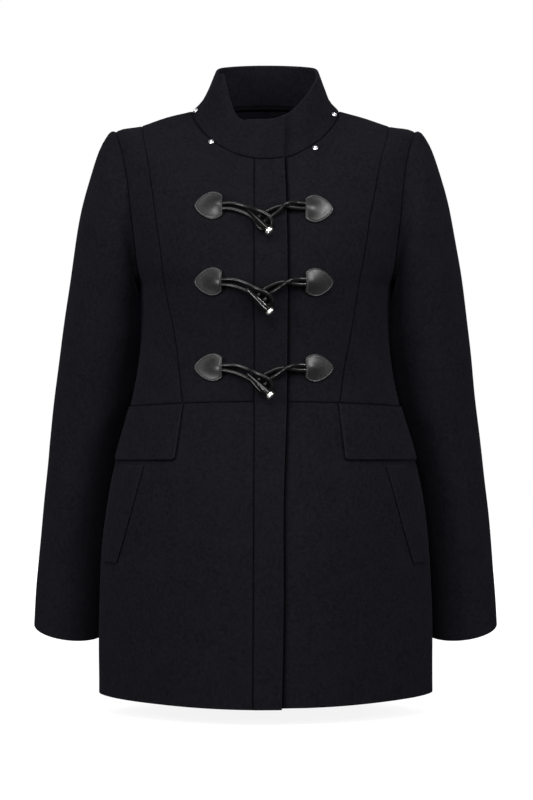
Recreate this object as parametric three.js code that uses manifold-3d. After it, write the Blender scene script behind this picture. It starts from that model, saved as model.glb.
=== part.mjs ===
// A short woollen duffle coat with a funnel collar, shown filled out as if worn by nobody.
// Millimetres, +Z up. The front faces -Y and the wearer's left is +X.
// The origin is midway between the two points where the collar meets the shoulder line.
// "Right" and "left" in the names are the wearer's.

import * as THREE from "three";
import { mergeVertices } from "three/addons/utils/BufferGeometryUtils.js";
import Module from "manifold-3d";

const wasm = await Module();
wasm.setup();

// Driving dimensions.
const CLOTH = 2.5; // thickness of the wool cloth
const SEAM_GAP = 0.3; // pieces stand this far apart at a seam
const COLLAR_GAP = 0.5; // the collar stands this far above the neck seam
const ARMHOLE_GAP = 0.6; // the sleeves stand this far off the armholes
const COLLAR_THICK = 4.6; // two layers of cloth with interlining
const LEFT_HEM = 1.5; // "along" of the left front's hem, which is a little shorter than the band
const PLACKET = { outer: 0.8, inner: -2.2 }; // faces of the front band, measured out from the body's surface
// The left front's edge, where it runs under the band: how deep, from which distance across to which, how far
// under, and how thick it is there.
const UNDERLAP = { sink: -3.1, from: 31, to: 52, reach: -11, thick: 2.1 };
const FLAP = { topLift: 0.4, hemLift: 1.4, thick: 3.4, drop: 70, outerAngle: 80, corner: 4, cornerRow: 1.3 };
const WELT = { lift: 0.4, thick: 2.4, top: 300, bottom: 174 };
const CORD_RADIUS = 2.6;
const CORD_LIFT = 4; // the cords' middle lines lie this far off the body's surface
const CORD_END = 3.3; // and this far where they go under a patch
const TOGGLE = { length: 44, capLength: 6, capSide: 3.6, capEdge: 5, capRadius: 5.7, holeClearance: 0.45 };
const HORN = rowsOf(
  ["radius", "height"],
  [
    [0, 0],
    [1.05, 0.3],
    [1.5, 1.4],
    [2.5, 8],
    [3.4, 16],
    [4.1, 25],
    [5.1, 38],
    [0, 38],
  ],
);
const BUTTON = { radius: 3.8, thick: 2.1, dimple: 1, depth: 1.1, lift: 0.35, collarLift: 1 };

const DEG = Math.PI / 180;
const QUARTER = Math.PI / 2;
const FINE = 1e-3; // step of the numerical slopes

const COLOUR = {
  wool: { color: 0x18171c, roughness: 0.95, metalness: 0 },
  leather: { color: 0x3a3a3e, roughness: 0.5, metalness: 0 },
  cord: { color: 0x1e1d1e, roughness: 0.45, metalness: 0 },
  horn: { color: 0x0b0b0d, roughness: 0.2, metalness: 0 },
  metal: { color: 0xc9c4b8, roughness: 0.25, metalness: 1 },
  stud: { color: 0xd8d8da, roughness: 0.3, metalness: 1 },
};

// Rings round the body, from the hem to the neck seam. "along" is the way up the side seam and over the
// shoulder. A ring's height is given at the middle front, the side and the middle back, and "bend" says how quickly
// it leaves the side's height. A positive pinch makes a half ring lens-shaped, a negative one boxy.
const BODY = rowsOf(
  ["along", "zFront", "zSide", "zBack", "half", "front", "back", "pinchFront", "pinchBack", "bend"],
  [
    [0, -757, -754, -757, 217, 153, 141, 0.28, 0.24, 2],
    [120, -637, -635, -637, 215.5, 149, 139, 0.24, 0.2, 2],
    [200, -557, -556, -557, 211.5, 145, 137, 0.18, 0.15, 2],
    [270, -486, -487, -488, 202.5, 138, 130, 0.1, 0.08, 2],
    [325, -430, -434, -434, 190, 129, 118, 0.04, 0.04, 2],
    [377, -376, -382, -382, 175.5, 120, 105, 0, 0, 2],
    [425, -329, -333, -333, 165, 117.5, 98, -0.03, -0.03, 2],
    [470, -286, -288, -286, 161, 122, 100, -0.05, -0.05, 2],
    [528, -231, -230, -226, 163.5, 131, 108, -0.06, -0.08, 2],
    [548, -214, -210, -206, 172, 132, 111, -0.07, -0.09, 2],
    [578, -190, -180, -181, 182, 130, 115, -0.08, -0.1, 2],
    [628, -157, -130, -142, 195, 123, 117, -0.1, -0.12, 2],
    [675, -132, -83, -105, 202, 115, 112, -0.12, -0.12, 2],
    [727, -110, -28, -66, 195.5, 106, 102, -0.1, -0.08, 2],
    [762, -97, -18.5, -40, 160, 99, 91, -0.06, -0.06, 1.8],
    [797, -83, -6.5, -11, 126, 92, 80, -0.04, -0.06, 1.5],
    [830, -69.5, 2, 17, 96, 86, 69, 0, -0.1, 1.3],
  ],
);
const WAIST = 377; // "along" of the waist seam
const NECK = 830; // "along" of the neck seam

// Rings of the collar, from the neck seam up to its top edge. "corner" is how far the wearer's right side
// follows a corner in place of the plain bend, and "shift" moves a ring sideways.
const COLLAR = rowsOf(
  [
    "up", "zFront", "zSide", "zBack", "half", "front", "back", "pinchFront", "pinchBack", "bend",
    "bendBack", "corner", "shift",
  ],
  [
    [0, -69.5, 2, 17, 96, 86, 69, 0, -0.1, 1.3, 1.3, 0, 0],
    [13, -57, 14, 29, 84, 83.5, 67.5, -0.02, -0.15, 1.15, 0.95, 0.2, 0],
    [27, -43, 26, 43, 77.5, 81, 65, -0.04, -0.22, 1.35, 0.75, 0.5, 1],
    [41, -29.5, 37, 57, 72, 78.5, 62, -0.04, -0.3, 1.55, 0.55, 0.8, 1.5],
    [54, -17.5, 46.5, 69.5, 66.5, 76, 59, -0.02, -0.35, 1.7, 0.38, 1, 2],
  ],
);
const COLLAR_TOP = 54;
const CORNER = { from: 0.48, to: 0.84 }; // cosines between which a collar ring falls at its corner
const COLLAR_LAP = {
  over: 24, // distance across of the end that lies on top
  under: -16, // and of the end underneath
  lift: 1.2, // how far the upper end stands out
  liftFrom: -14,
  liftTo: -46,
  sink: -3.8, // how deep the lower end lies
  sinkFrom: 30,
  sinkTo: 56,
};

// The front band's two edges, as the distance across from the middle front.
const BAND = rowsOf(
  ["along", "seam", "edge"],
  [
    [0, -15.5, 20.5],
    [120, -15, 22.5],
    [250, -14.5, 22.5],
    [377, -14, 26.5],
    [560, -14, 27.5],
    [830, -14, 24],
  ],
);

// The shoulder princess seams, as the distance across from the middle front.
const PRINCESS = rowsOf(
  ["along", "right", "left"],
  [
    [377, 104, 93],
    [425, 109.5, 100],
    [470, 116, 108.5],
    [528, 127, 118],
    [578, 133, 126],
    [628, 139, 132],
    [675, 144, 139],
    [727, 151, 148],
    [763, 159, 159],
  ],
);
const PRINCESS_END = 763; // "along" where they reach the shoulder seam

// The armhole is where the body meets a sheet that runs from front to back, this far across at each height.
const ARMHOLE = rowsOf(
  ["z", "x"],
  [
    [-300, 215],
    [-260, 183],
    [-232, 163.5],
    [-200, 166],
    [-150, 171.5],
    [-100, 177],
    [-60, 184],
    [-28, 195.5],
    [40, 230],
  ],
);
const ARMHOLE_STEPS = 8; // spans down each side of the armhole

// Sections of the left sleeve: its outermost and innermost points, the middle and half of its depth, and how
// much lower its front edge is than its middle.
const SLEEVE = rowsOf(
  ["outX", "outZ", "inX", "inZ", "mid", "depth", "tilt"],
  [
    [203, -32, 166.5, -238, 0, 63, 0],
    [213, -50, 165, -245, 2, 67, 0],
    [224, -82, 164.5, -253, 4, 69, 0],
    [236.5, -126, 164, -264, 8, 69, 0],
    [247, -181, 163.5, -281, 13, 68, 0],
    [257, -243, 162.5, -308, 20, 66, 0],
    [266, -309, 168, -346, 27, 63, 0],
    [275, -381, 179.5, -401, 37, 60, 1],
    [284, -455, 195, -463, 45, 57, 3],
    [292.5, -530, 206, -534, 50, 55, 6],
    [299, -602, 211, -608, 53, 53, 9],
    [303, -670, 213.5, -681, 54, 52, 11],
  ],
);

// The inner edges of the pocket flaps at the waist seam and at their hems, and the edges of the pocket welts.
const POCKETS = {
  right: { side: -1, flapTop: 102.5, flapHem: 113, weltTop: [153, 175], weltFoot: [188, 205] },
  left: { side: 1, flapTop: 91, flapHem: 99.5, weltTop: [151, 174], weltFoot: [187, 204] },
};

// Where each toggle set lies: the height of its patches, and how its cords differ from the first set's.
const TOGGLE_SETS = rowsOf(
  ["name", "z", "patchRight", "patchLeft", "slack"],
  [
    ["top", -132.5, 1.5, -2.5, 0],
    ["middle", -226.5, 0.5, -0.5, 0.2],
    ["bottom", -333.5, 0.5, -0.5, 1],
  ],
);
const PATCH = {
  rightEdge: -53.5, // distance across of the straight edges
  leftEdge: 49.5,
  length: 35.5,
  halfEdge: 12.5,
  halfWidth: 17.6,
  edgeHeight: 1.7,
  domeHeight: 5.7,
  lift: 0.5,
};

// The hood's buttons: the angle round from the middle front and the way down from the neck seam, below zero
// for those on the collar.
const HOOD_BUTTONS = rowsOf(
  ["name", "angle", "down"],
  [
    ["hood_button_right_shoulder", -81, -5],
    ["hood_button_right_front", -43.5, 4.8],
    ["hood_button_left_front", 36.5, 11],
    ["hood_button_left_shoulder", 75, -5],
  ],
);

// A table as a list of rows, each with its numbers under the columns' names.
function rowsOf(columns, rows) {
  return rows.map((row) => Object.fromEntries(columns.map((name, i) => [name, row[i]])));
}

// Value of every column of a table at a place between its rows, along a smooth curve through them.
function read(table, key, at) {
  const last = table.length - 2;
  let i = 0;
  while (i < last && at > table[i + 1][key]) i += 1;
  const row = (k) => table[Math.min(Math.max(k, 0), table.length - 1)];
  const [a, b, c, d] = [row(i - 1), row(i), row(i + 1), row(i + 2)];
  const span = c[key] - b[key];
  const s = THREE.MathUtils.clamp((at - b[key]) / span, 0, 1);
  const made = {};
  for (const column of Object.keys(b)) {
    const slopeB = b === a ? (c[column] - b[column]) / span : (c[column] - a[column]) / (c[key] - a[key]);
    const slopeC = d === c ? (c[column] - b[column]) / span : (d[column] - b[column]) / (d[key] - b[key]);
    const s2 = s * s;
    const s3 = s2 * s;
    made[column] =
      (2 * s3 - 3 * s2 + 1) * b[column] +
      (s3 - 2 * s2 + s) * span * slopeB +
      (3 * s2 - 2 * s3) * c[column] +
      (s3 - s2) * span * slopeC;
  }
  return made;
}

// A point of a ring. The angle runs from the middle front, 0, over the wearer's left side, a quarter turn.
function onRing(ring, angle) {
  const sin = Math.sin(angle);
  const cos = Math.cos(angle);
  const front = cos > 0;
  const depth = front ? ring.front : ring.back;
  const pinch = front ? ring.pinchFront : ring.pinchBack;
  const end = front ? ring.zFront : ring.zBack;
  const bend = front ? ring.bend : ring.bendBack ?? ring.bend;
  const corner = front && sin < 0 ? ring.corner ?? 0 : 0;
  const plain = Math.abs(cos) ** bend;
  const fall = plain + corner * (THREE.MathUtils.smoothstep(cos, CORNER.from, CORNER.to) - plain);
  return new THREE.Vector3(
    (ring.shift ?? 0) + ring.half * sin,
    -depth * cos * (1 - pinch * sin * sin),
    ring.zSide + (end - ring.zSide) * fall,
  );
}

// A surface over (angle, distance) with its outward normal, made from a table of rings.
function ringSurface(table, key) {
  const top = table[table.length - 1][key];
  const point = (angle, at) => onRing(read(table, key, at), angle);
  const normal = (angle, at) => {
    const lower = Math.max(at - FINE * 100, table[0][key]);
    const upper = Math.min(at + FINE * 100, top);
    const across = point(angle + FINE, at).sub(point(angle - FINE, at));
    const along = point(angle, upper).sub(point(angle, lower));
    return across.cross(along).normalize();
  };
  const lifted = (angle, at, lift) => point(angle, at).addScaledVector(normal(angle, at), lift);
  return { point, normal, lifted };
}

const body = ringSurface(BODY, "along");
const collar = ringSurface(COLLAR, "up");

// The root of a rising function between two bounds.
function solve(f, low, high) {
  for (let i = 0; i < 50; i += 1) {
    const middle = (low + high) / 2;
    if (f(middle) < 0) low = middle;
    else high = middle;
  }
  return (low + high) / 2;
}

// The angle at which a front half ring is a given distance across.
function angleAcross(x, at) {
  const { half } = read(BODY, "along", at);
  return Math.asin(THREE.MathUtils.clamp(x / half, -1, 1));
}

// The angle moved by a distance measured on the body's surface.
function nudged(angle, at, distance) {
  const reach = body.point(angle + FINE, at).distanceTo(body.point(angle - FINE, at)) / (2 * FINE);
  return angle + distance / reach;
}

// The place on the front that has a given distance across and a given height.
function frontAt(x, z) {
  const at = solve((v) => body.point(angleAcross(x, v), v).z - z, 0, NECK);
  return { angle: angleAcross(x, at), at };
}

function frontPoint(x, z, lift) {
  const { angle, at } = frontAt(x, z);
  return body.lifted(angle, at, lift);
}

const armholeX = (z) => read(ARMHOLE, "z", z).x;
const beyondArmhole = (angle, at) => {
  const p = body.point(angle, at);
  return Math.abs(p.x) - armholeX(p.z);
};
const ARMPIT = solve((v) => beyondArmhole(QUARTER, v), 500, 600);
const SHOULDER = solve((v) => -beyondArmhole(QUARTER, v), 690, 760);

// The angle, on the wearer's left, where the body is cut for the armhole, at the front or at the back.
function armholeAngle(at, isFront) {
  if (at <= ARMPIT + FINE || at >= SHOULDER - FINE) return QUARTER;
  const outward = isFront ? 1 : -1;
  const start = isFront ? 0.3 : Math.PI - 0.3;
  return start + outward * solve((turn) => beyondArmhole(start + outward * turn, at), 0, QUARTER - 0.3);
}

// The heights at which the armhole's edge has its corners, from the armpit to the shoulder.
const armholeRows = Array.from({ length: ARMHOLE_STEPS + 1 }, (_, i) => {
  const turn = (Math.PI * i) / ARMHOLE_STEPS;
  return ARMPIT + ((SHOULDER - ARMPIT) * (1 - Math.cos(turn))) / 2;
});

const GAP = SEAM_GAP / 2;
const skirtRows = [0, 60, 120, 165, 205, 242, 275, 305, 335, 358, WAIST - GAP];
const chestRows = [WAIST + GAP, 402, 430, 460, 490, (490 + ARMPIT) / 2 + 6, ...armholeRows];
const princessRows = [736, 745, 753, 759, PRINCESS_END - 1.5];
const neckRows = [PRINCESS_END, 784, 807, NECK - GAP];

const materials = Object.fromEntries(
  Object.entries(COLOUR).map(([name, look]) => [name, new THREE.MeshStandardMaterial({ name, ...look })]),
);

// A closed geometry from corner points and triangles, turned to face outwards.
function closedGeometry(points, triangles) {
  let volume = 0;
  for (const [a, b, c] of triangles) {
    volume += points[a].dot(new THREE.Vector3().crossVectors(points[b], points[c]));
  }
  const faces = volume > 0 ? triangles : triangles.map(([a, b, c]) => [a, c, b]);
  const geometry = new THREE.BufferGeometry();
  const flat = points.flatMap((p) => [p.x, p.y, p.z]);
  geometry.setAttribute("position", new THREE.Float32BufferAttribute(flat, 3));
  geometry.setIndex(faces.flat());
  geometry.computeVertexNormals();
  return geometry;
}

// A wall between two matching grids of points. A round wall has its last column joined to its first.
function wallGeometry(outer, inner, round = false) {
  const rows = outer.length;
  const columns = outer[0].length;
  const points = [...outer.flat(), ...inner.flat()];
  const inside = rows * columns;
  const id = (r, c) => r * columns + (c % columns);
  const triangles = [];
  const quad = (a, b, c, d) => {
    const isShort = points[a].distanceTo(points[c]) <= points[b].distanceTo(points[d]);
    triangles.push(...(isShort ? [[a, b, c], [a, c, d]] : [[a, b, d], [b, c, d]]));
  };
  const spans = round ? columns : columns - 1;
  for (let r = 0; r < rows - 1; r += 1) {
    for (let c = 0; c < spans; c += 1) {
      quad(id(r, c), id(r, c + 1), id(r + 1, c + 1), id(r + 1, c));
      quad(inside + id(r, c), inside + id(r + 1, c), inside + id(r + 1, c + 1), inside + id(r, c + 1));
    }
  }
  for (let c = 0; c < spans; c += 1) {
    quad(id(0, c + 1), id(0, c), inside + id(0, c), inside + id(0, c + 1));
    const r = rows - 1;
    quad(id(r, c), id(r, c + 1), inside + id(r, c + 1), inside + id(r, c));
  }
  if (!round) {
    for (let r = 0; r < rows - 1; r += 1) {
      quad(id(r, 0), id(r + 1, 0), inside + id(r + 1, 0), inside + id(r, 0));
      const c = columns - 1;
      quad(id(r + 1, c), id(r, c), inside + id(r, c), inside + id(r + 1, c));
    }
  }
  return closedGeometry(points, triangles);
}

// A sewn panel: rows of "along", the angles of its two edges and of any columns that it must have beside the
// first, and the lifts of its two faces.
function panelGeometry(panel) {
  const { rows, from, to, columns } = panel;
  const { stops = () => [], outer = () => 0, inner = (lift) => lift - CLOTH, surface = body } = panel;
  const faces = [[], []];
  for (const at of rows) {
    const start = from(at);
    const end = to(at);
    const outerRow = [];
    const innerRow = [];
    const edges = [start, ...stops(at)];
    const rest = columns - stops(at).length;
    const last = edges[edges.length - 1];
    for (let c = 0; c <= columns; c += 1) {
      const share = c / columns;
      const angle = c < edges.length ? edges[c] : last + ((c + rest - columns) / rest) * (end - last);
      const lift = outer(angle, at, share);
      outerRow.push(surface.lifted(angle, at, lift));
      innerRow.push(surface.lifted(angle, at, inner(lift, angle, at)));
    }
    faces[0].push(outerRow);
    faces[1].push(innerRow);
  }
  return wallGeometry(faces[0], faces[1]);
}

const parts = new THREE.Group();
function add(name, geometry, material) {
  const mesh = new THREE.Mesh(geometry, material);
  mesh.name = name;
  parts.add(mesh);
  return mesh;
}

const smooth = (x, from, to) => {
  const s = THREE.MathUtils.clamp((x - from) / (to - from), 0, 1);
  return s * s * (3 - 2 * s);
};

// The left front sinks beside the band and runs on under it.
function underlapLift(angle, at) {
  const { x } = body.point(angle, at);
  return UNDERLAP.sink * (1 - smooth(x, UNDERLAP.from, UNDERLAP.to));
}
const underlapInner = (lift) => {
  const share = lift / UNDERLAP.sink;
  return lift - CLOTH + share * (CLOTH - UNDERLAP.thick);
};

const princessAngle = (side, at) => {
  if (at >= PRINCESS_END) return QUARTER;
  const row = read(PRINCESS, "along", at);
  return angleAcross(side > 0 ? row.left : row.right, at);
};

const underlapStops = (at) => {
  const { reach, from, to } = UNDERLAP;
  return [(reach + from) / 2, from, (from + to) / 2, to].map((x) => angleAcross(x, at));
};

// The front edge of each front panel, as a signed angle on the wearer's left or right.
const bandSeam = (at) => angleAcross(read(BAND, "along", at).seam, at);
const bandEdge = (at) => angleAcross(read(BAND, "along", at).edge, at);
const underlapEdge = (at) => angleAcross(UNDERLAP.reach, at);

// Front, side-front, skirt and back panels of one side.
function sidePanels(name, side) {
  const isLeft = side > 0;
  const frontEdge = isLeft ? underlapEdge : (at) => nudged(bandSeam(at), at, -GAP);
  const lifts = isLeft ? { outer: underlapLift, inner: underlapInner, stops: underlapStops } : {};
  const seam = (angle, at, distance) => side * nudged(angle, at, distance);
  const sideSeam = (distance) => (at) => seam(QUARTER, at, distance);
  const hasArmhole = (at) => at > ARMPIT && at < SHOULDER;
  const backEdge = (at) => (hasArmhole(at) ? side * armholeAngle(at, false) : seam(QUARTER, at, GAP));
  const frontTo = (at) => seam(princessAngle(side, at), at, -GAP);
  const sideTo = (at) => (hasArmhole(at) ? side * armholeAngle(at, true) : seam(QUARTER, at, -GAP));
  const midBack = (at) => seam(Math.PI, at, -GAP);

  add(`${name}_front`, panelGeometry({
    rows: [...chestRows, ...princessRows, ...neckRows], from: frontEdge, to: frontTo, columns: 8, ...lifts,
  }), materials.wool);
  add(`${name}_side_front`, panelGeometry({
    rows: [...chestRows, ...princessRows],
    from: (at) => seam(princessAngle(side, at), at, GAP), to: sideTo, columns: 4,
  }), materials.wool);
  add(`${name}_front_skirt`, panelGeometry({
    rows: isLeft ? [LEFT_HEM, ...skirtRows.slice(1)] : skirtRows,
    from: frontEdge, to: sideSeam(-GAP), columns: 13, ...lifts,
  }), materials.wool);
  add(`${name}_back`, panelGeometry({
    rows: [...chestRows, princessRows[1], ...neckRows], from: midBack, to: backEdge, columns: 8,
  }), materials.wool);
  add(`${name}_back_skirt`, panelGeometry({
    rows: skirtRows, from: midBack, to: sideSeam(GAP), columns: 10,
  }), materials.wool);
}

// The band down the front, which closes over the left front.
function frontBand() {
  const rows = [...skirtRows.slice(0, -1), WAIST, ...chestRows.slice(1), princessRows[1], ...neckRows];
  rows[rows.length - 1] = NECK - COLLAR_GAP;
  add("front_band", panelGeometry({
    rows,
    from: (at) => nudged(bandSeam(at), at, GAP),
    to: bandEdge,
    columns: 2,
    outer: () => PLACKET.outer,
    inner: () => PLACKET.inner,
  }), materials.wool);
}

// The collar runs once round the neck, from its right end, which lies on top, to its left end underneath.
function collarWall() {
  const across = (x, up) => Math.asin(x / read(COLLAR, "up", up).half);
  const from = (up) => across(COLLAR_LAP.over, up);
  const to = (up) => -2 * Math.PI + across(COLLAR_LAP.under, up);
  const outer = (angle, up, share) => {
    const { x } = collar.point(angle, up);
    if (share < 0.25) return COLLAR_LAP.lift * smooth(x, COLLAR_LAP.liftTo, COLLAR_LAP.liftFrom);
    if (share > 0.75) return COLLAR_LAP.sink * (1 - smooth(x, COLLAR_LAP.sinkFrom, COLLAR_LAP.sinkTo));
    return 0;
  };
  add("collar", panelGeometry({
    rows: [COLLAR_GAP, 13, 27, 41, COLLAR_TOP],
    from, to, columns: 40, outer, inner: (lift) => lift - COLLAR_THICK, surface: collar,
  }), materials.wool);
}

// The four outlines of a sleeve: its section rings, with the armhole's edge as the first two.
function sleeveRings(side) {
  const steps = ARMHOLE_STEPS * 2;
  const rings = [[], []];
  for (let i = 0; i < steps; i += 1) {
    const isFront = i <= ARMHOLE_STEPS;
    const row = armholeRows[isFront ? ARMHOLE_STEPS - i : i - ARMHOLE_STEPS];
    const angle = armholeAngle(row, isFront);
    const edge = body.point(angle, row);
    const out = body.normal(angle, row);
    edge.x += ARMHOLE_GAP;
    rings[0].push(edge);
    rings[1].push(edge.clone().add(new THREE.Vector3(3.4, 0, 0)).addScaledVector(out, 1.1));
  }
  for (const s of SLEEVE) {
    const middle = new THREE.Vector3((s.outX + s.inX) / 2, s.mid, (s.outZ + s.inZ) / 2);
    const outward = new THREE.Vector3((s.outX - s.inX) / 2, 0, (s.outZ - s.inZ) / 2);
    rings.push(Array.from({ length: steps }, (_, i) => {
      const turn = (2 * Math.PI * i) / steps;
      const p = middle.clone().addScaledVector(outward, Math.cos(turn));
      p.y -= s.depth * Math.sin(turn);
      p.z -= s.tilt * Math.sin(turn);
      return p;
    }));
  }
  for (const ring of rings) for (const p of ring) p.x *= side;
  return rings;
}

// The same rings moved inwards by a wall's thickness, along the grid's own normals.
function insetRings(rings, thick, side) {
  const count = rings[0].length;
  return rings.map((ring, r) => ring.map((p, c) => {
    const around = ring[(c + 1) % count].clone().sub(ring[(c + count - 1) % count]);
    const next = rings[Math.min(r + 1, rings.length - 1)][c];
    const before = rings[Math.max(r - 1, 0)][c];
    const down = next.clone().sub(before);
    return p.clone().addScaledVector(down.cross(around).normalize(), -thick * side);
  }));
}

function sleeve(name, side) {
  const rings = sleeveRings(side);
  add(name, wallGeometry(rings, insetRings(rings, CLOTH, side), true), materials.wool);
}

// A pocket flap, sewn into the waist seam, and the welt of the slanted pocket below it.
function pocket(name, { side, flapTop, flapHem, weltTop, weltFoot }) {
  const hem = WAIST - FLAP.drop;
  const down = (at) => (WAIST - at) / FLAP.drop;
  const rounding = (at) => {
    const left = Math.max(0, FLAP.corner - (at - hem));
    return FLAP.corner - Math.sqrt(Math.max(0, FLAP.corner ** 2 - left ** 2));
  };
  const inner = (at) => angleAcross(THREE.MathUtils.lerp(flapTop, flapHem, down(at)) + rounding(at), at);
  const outerEdge = (at) => nudged(FLAP.outerAngle * DEG, at, -rounding(at));
  const lift = (at) => THREE.MathUtils.lerp(FLAP.topLift, FLAP.hemLift, down(at));
  add(`${name}_pocket_flap`, panelGeometry({
    rows: [hem, hem + FLAP.cornerRow, FLAP.corner + hem, 328, 346, 362, WAIST - 0.8],
    from: (at) => side * inner(at),
    to: (at) => side * outerEdge(at),
    columns: 7,
    outer: (angle, at) => lift(at) + FLAP.thick,
    inner: (_, angle, at) => lift(at),
  }), materials.wool);

  const share = (at) => (WELT.top - at) / (WELT.top - WELT.bottom);
  const across = (k, at) => THREE.MathUtils.lerp(weltTop[k], weltFoot[k], share(at));
  const edge = (k) => (at) => side * angleAcross(across(k, at), at);
  const weltRows = Array.from({ length: 7 }, (_, i) => THREE.MathUtils.lerp(WELT.bottom, WELT.top, i / 6));
  add(`${name}_pocket_welt`, panelGeometry({
    rows: weltRows,
    from: edge(0),
    to: edge(1),
    columns: 2,
    outer: () => WELT.lift + WELT.thick,
    inner: () => WELT.lift,
  }), materials.wool);
}

// Outline of a leather patch, from the middle of its straight edge round to its tip and back.
function patchOutline() {
  const { length, halfEdge, halfWidth } = PATCH;
  const upper = [
    [0, halfEdge * 0.5],
    [0, halfEdge],
    [length * 0.13, halfWidth * 0.9],
    [length * 0.32, halfWidth],
    [length * 0.5, halfWidth * 0.94],
    [length * 0.67, halfWidth * 0.77],
    [length * 0.83, halfWidth * 0.52],
    [length * 0.95, halfWidth * 0.25],
  ];
  const lower = upper.map(([u, w]) => [u, -w]).reverse();
  return [[0, 0], ...upper, [length, 0], ...lower];
}

// A patch lies on the cloth. It is domed, and tall at its straight edge, where the two cords go under it.
function patchGeometry(edgeX, side, z) {
  const outline = patchOutline();
  const centre = PATCH.length * 0.42;
  const scales = [1, 0.55];
  const heights = (u, w) => {
    const atCords = u < FINE && Math.abs(w) < PATCH.halfEdge - FINE;
    return [atCords ? PATCH.domeHeight : PATCH.edgeHeight, PATCH.domeHeight];
  };
  const count = outline.length;
  const points = [];
  const place = (u, w, lift) => points.push(frontPoint(edgeX + side * u, z + w, lift));
  for (const bottom of [false, true]) {
    scales.forEach((scale, k) => {
      for (const [u, w] of outline) {
        const height = bottom ? PATCH.lift : PATCH.lift + heights(u, w)[k];
        place(centre + (u - centre) * scale, w * scale, height);
      }
    });
    place(centre, 0, bottom ? PATCH.lift : PATCH.lift + PATCH.domeHeight + 0.3);
  }
  const half = 2 * count + 1;
  const triangles = [];
  for (let i = 0; i < count; i += 1) {
    const j = (i + 1) % count;
    for (const [base, turned] of [[0, false], [half, true]]) {
      const made = [
        [i, j, count + j],
        [i, count + j, count + i],
        [count + i, count + j, 2 * count],
      ];
      for (const corners of made) {
        const [a, b, c] = corners.map((corner) => base + corner);
        triangles.push(turned ? [a, c, b] : [a, b, c]);
      }
    }
    triangles.push([j, i, half + i], [j, half + i, half + j]);
  }
  return closedGeometry(points, triangles);
}

// A cord of round section along a smooth line through points given as across, up and lift off the cloth.
function cordGeometry(route, z, steps) {
  const points = route.map(([u, w, lift]) => frontPoint(u, z + w, lift));
  const path = new THREE.CatmullRomCurve3(points, false, "centripetal");
  const section = new THREE.Shape();
  section.absarc(0, 0, CORD_RADIUS, 0, 2 * Math.PI, false);
  const settings = { steps, extrudePath: path, curveSegments: 4, bevelEnabled: false };
  return new THREE.ExtrudeGeometry(section, settings);
}

// A three.js geometry as a solid for cutting, and a solid back as a geometry.
function solidOf(geometry) {
  const bare = geometry.index ? geometry.toNonIndexed() : geometry.clone();
  bare.deleteAttribute("normal");
  bare.deleteAttribute("uv");
  const merged = mergeVertices(bare, FINE);
  return new wasm.Manifold(new wasm.Mesh({
    numProp: 3,
    vertProperties: merged.attributes.position.array,
    triVerts: new Uint32Array(merged.index.array),
  }));
}

function geometryOf(solid) {
  const { vertProperties, triVerts, numProp } = solid.getMesh();
  const flat = [];
  for (let i = 0; i < vertProperties.length; i += numProp) flat.push(...vertProperties.subarray(i, i + 3));
  const geometry = new THREE.BufferGeometry();
  geometry.setAttribute("position", new THREE.Float32BufferAttribute(flat, 3));
  geometry.setIndex([...triVerts]);
  geometry.computeVertexNormals();
  return geometry;
}

// The turn that brings the Y axis to a direction.
function turnFromY(direction) {
  return new THREE.Quaternion().setFromUnitVectors(new THREE.Vector3(0, 1, 0), direction.clone().normalize());
}

// A cylinder between two points.
function rodGeometry(from, to, radius, segments) {
  const rod = new THREE.CylinderGeometry(radius, radius, from.distanceTo(to), segments);
  const middle = from.clone().add(to).divideScalar(2);
  return rod.applyQuaternion(turnFromY(to.clone().sub(from))).translate(...middle.toArray());
}

// Where a toggle's tip and capped end are, and where its two cords go in, in a set's across, up and lift.
const TOGGLE_TIP = [-22.5, -7.5, 9.8];
const TOGGLE_END = [8.6, -38.6, 13.4];
const CORD_IN = [
  { share: 0.36, across: 2.6, drop: 2.1 },
  { share: 0.57, across: 3.1, drop: 2.4 },
];

// The middle of a cord's end in the horn, in the same terms.
function cordMouth({ share, across, drop }) {
  const along = TOGGLE_TIP.map((tip, k) => THREE.MathUtils.lerp(tip, TOGGLE_END[k], share));
  const side = across * Math.SQRT1_2;
  return [along[0] + side, along[1] + side, along[2] - drop];
}

// Routes of the two loops. The right one slips over the toggle; the left one carries it.
function loopRoutes(slack) {
  const low = CORD_LIFT;
  const over = low + 2 * CORD_RADIUS + 0.6;
  const right = [
    [PATCH.rightEdge + 0.7, 3.2, CORD_END],
    [-44, 3.3, low],
    [-34, 1.6 + slack, low],
    [-22, -2.6 + slack, low + 1.6],
    [-10, -8 + slack * 0.6, over + 0.2],
    [-1, -11.8, over + 0.9],
    [5, -16.2, over + 0.1],
    [8.2, -21.8, low + 2.6],
    [6.6, -27.2, low],
    [0.6, -30.2, low],
    [-5.6, -29, low],
    [-10.2, -24.8, low],
    [-12.8 - slack, -19.4 - slack, low],
    [-17 - slack, -14.6 - slack, low],
    [-24 - slack, -10.2 - slack * 1.6, low],
    [-33, -6.6 - slack * 1.6, low],
    [-43, -4 - slack, low],
    [PATCH.rightEdge + 0.7, -3.2, CORD_END],
  ];
  const [first, second] = CORD_IN.map(cordMouth);
  const left = [
    second,
    [second[0] + 2.3, second[1] + 2.3, second[2] - 1.9],
    [4.6, -15.6, low],
    [11, -11.2, low],
    [17.6, -6.4, low + 2.6],
    [24.6, -0.9, over + 0.4],
    [31.6, 2.4, over - 1.6],
    [40, 3.4, low + 0.4],
    [PATCH.leftEdge - 0.7, 3.2, CORD_END],
  ];
  const leftUnder = [
    first,
    [first[0] + 2.3, first[1] + 2.3, first[2] - 1.9],
    [-0.6, -8.6, low],
    [7, -4.7, low],
    [15.4, -1.4, low],
    [24.4, -0.4, low],
    [32, -2, low],
    [41, -3.2, low],
    [PATCH.leftEdge - 0.7, -3.2, CORD_END],
  ];
  return { right, left, leftUnder };
}

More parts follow.
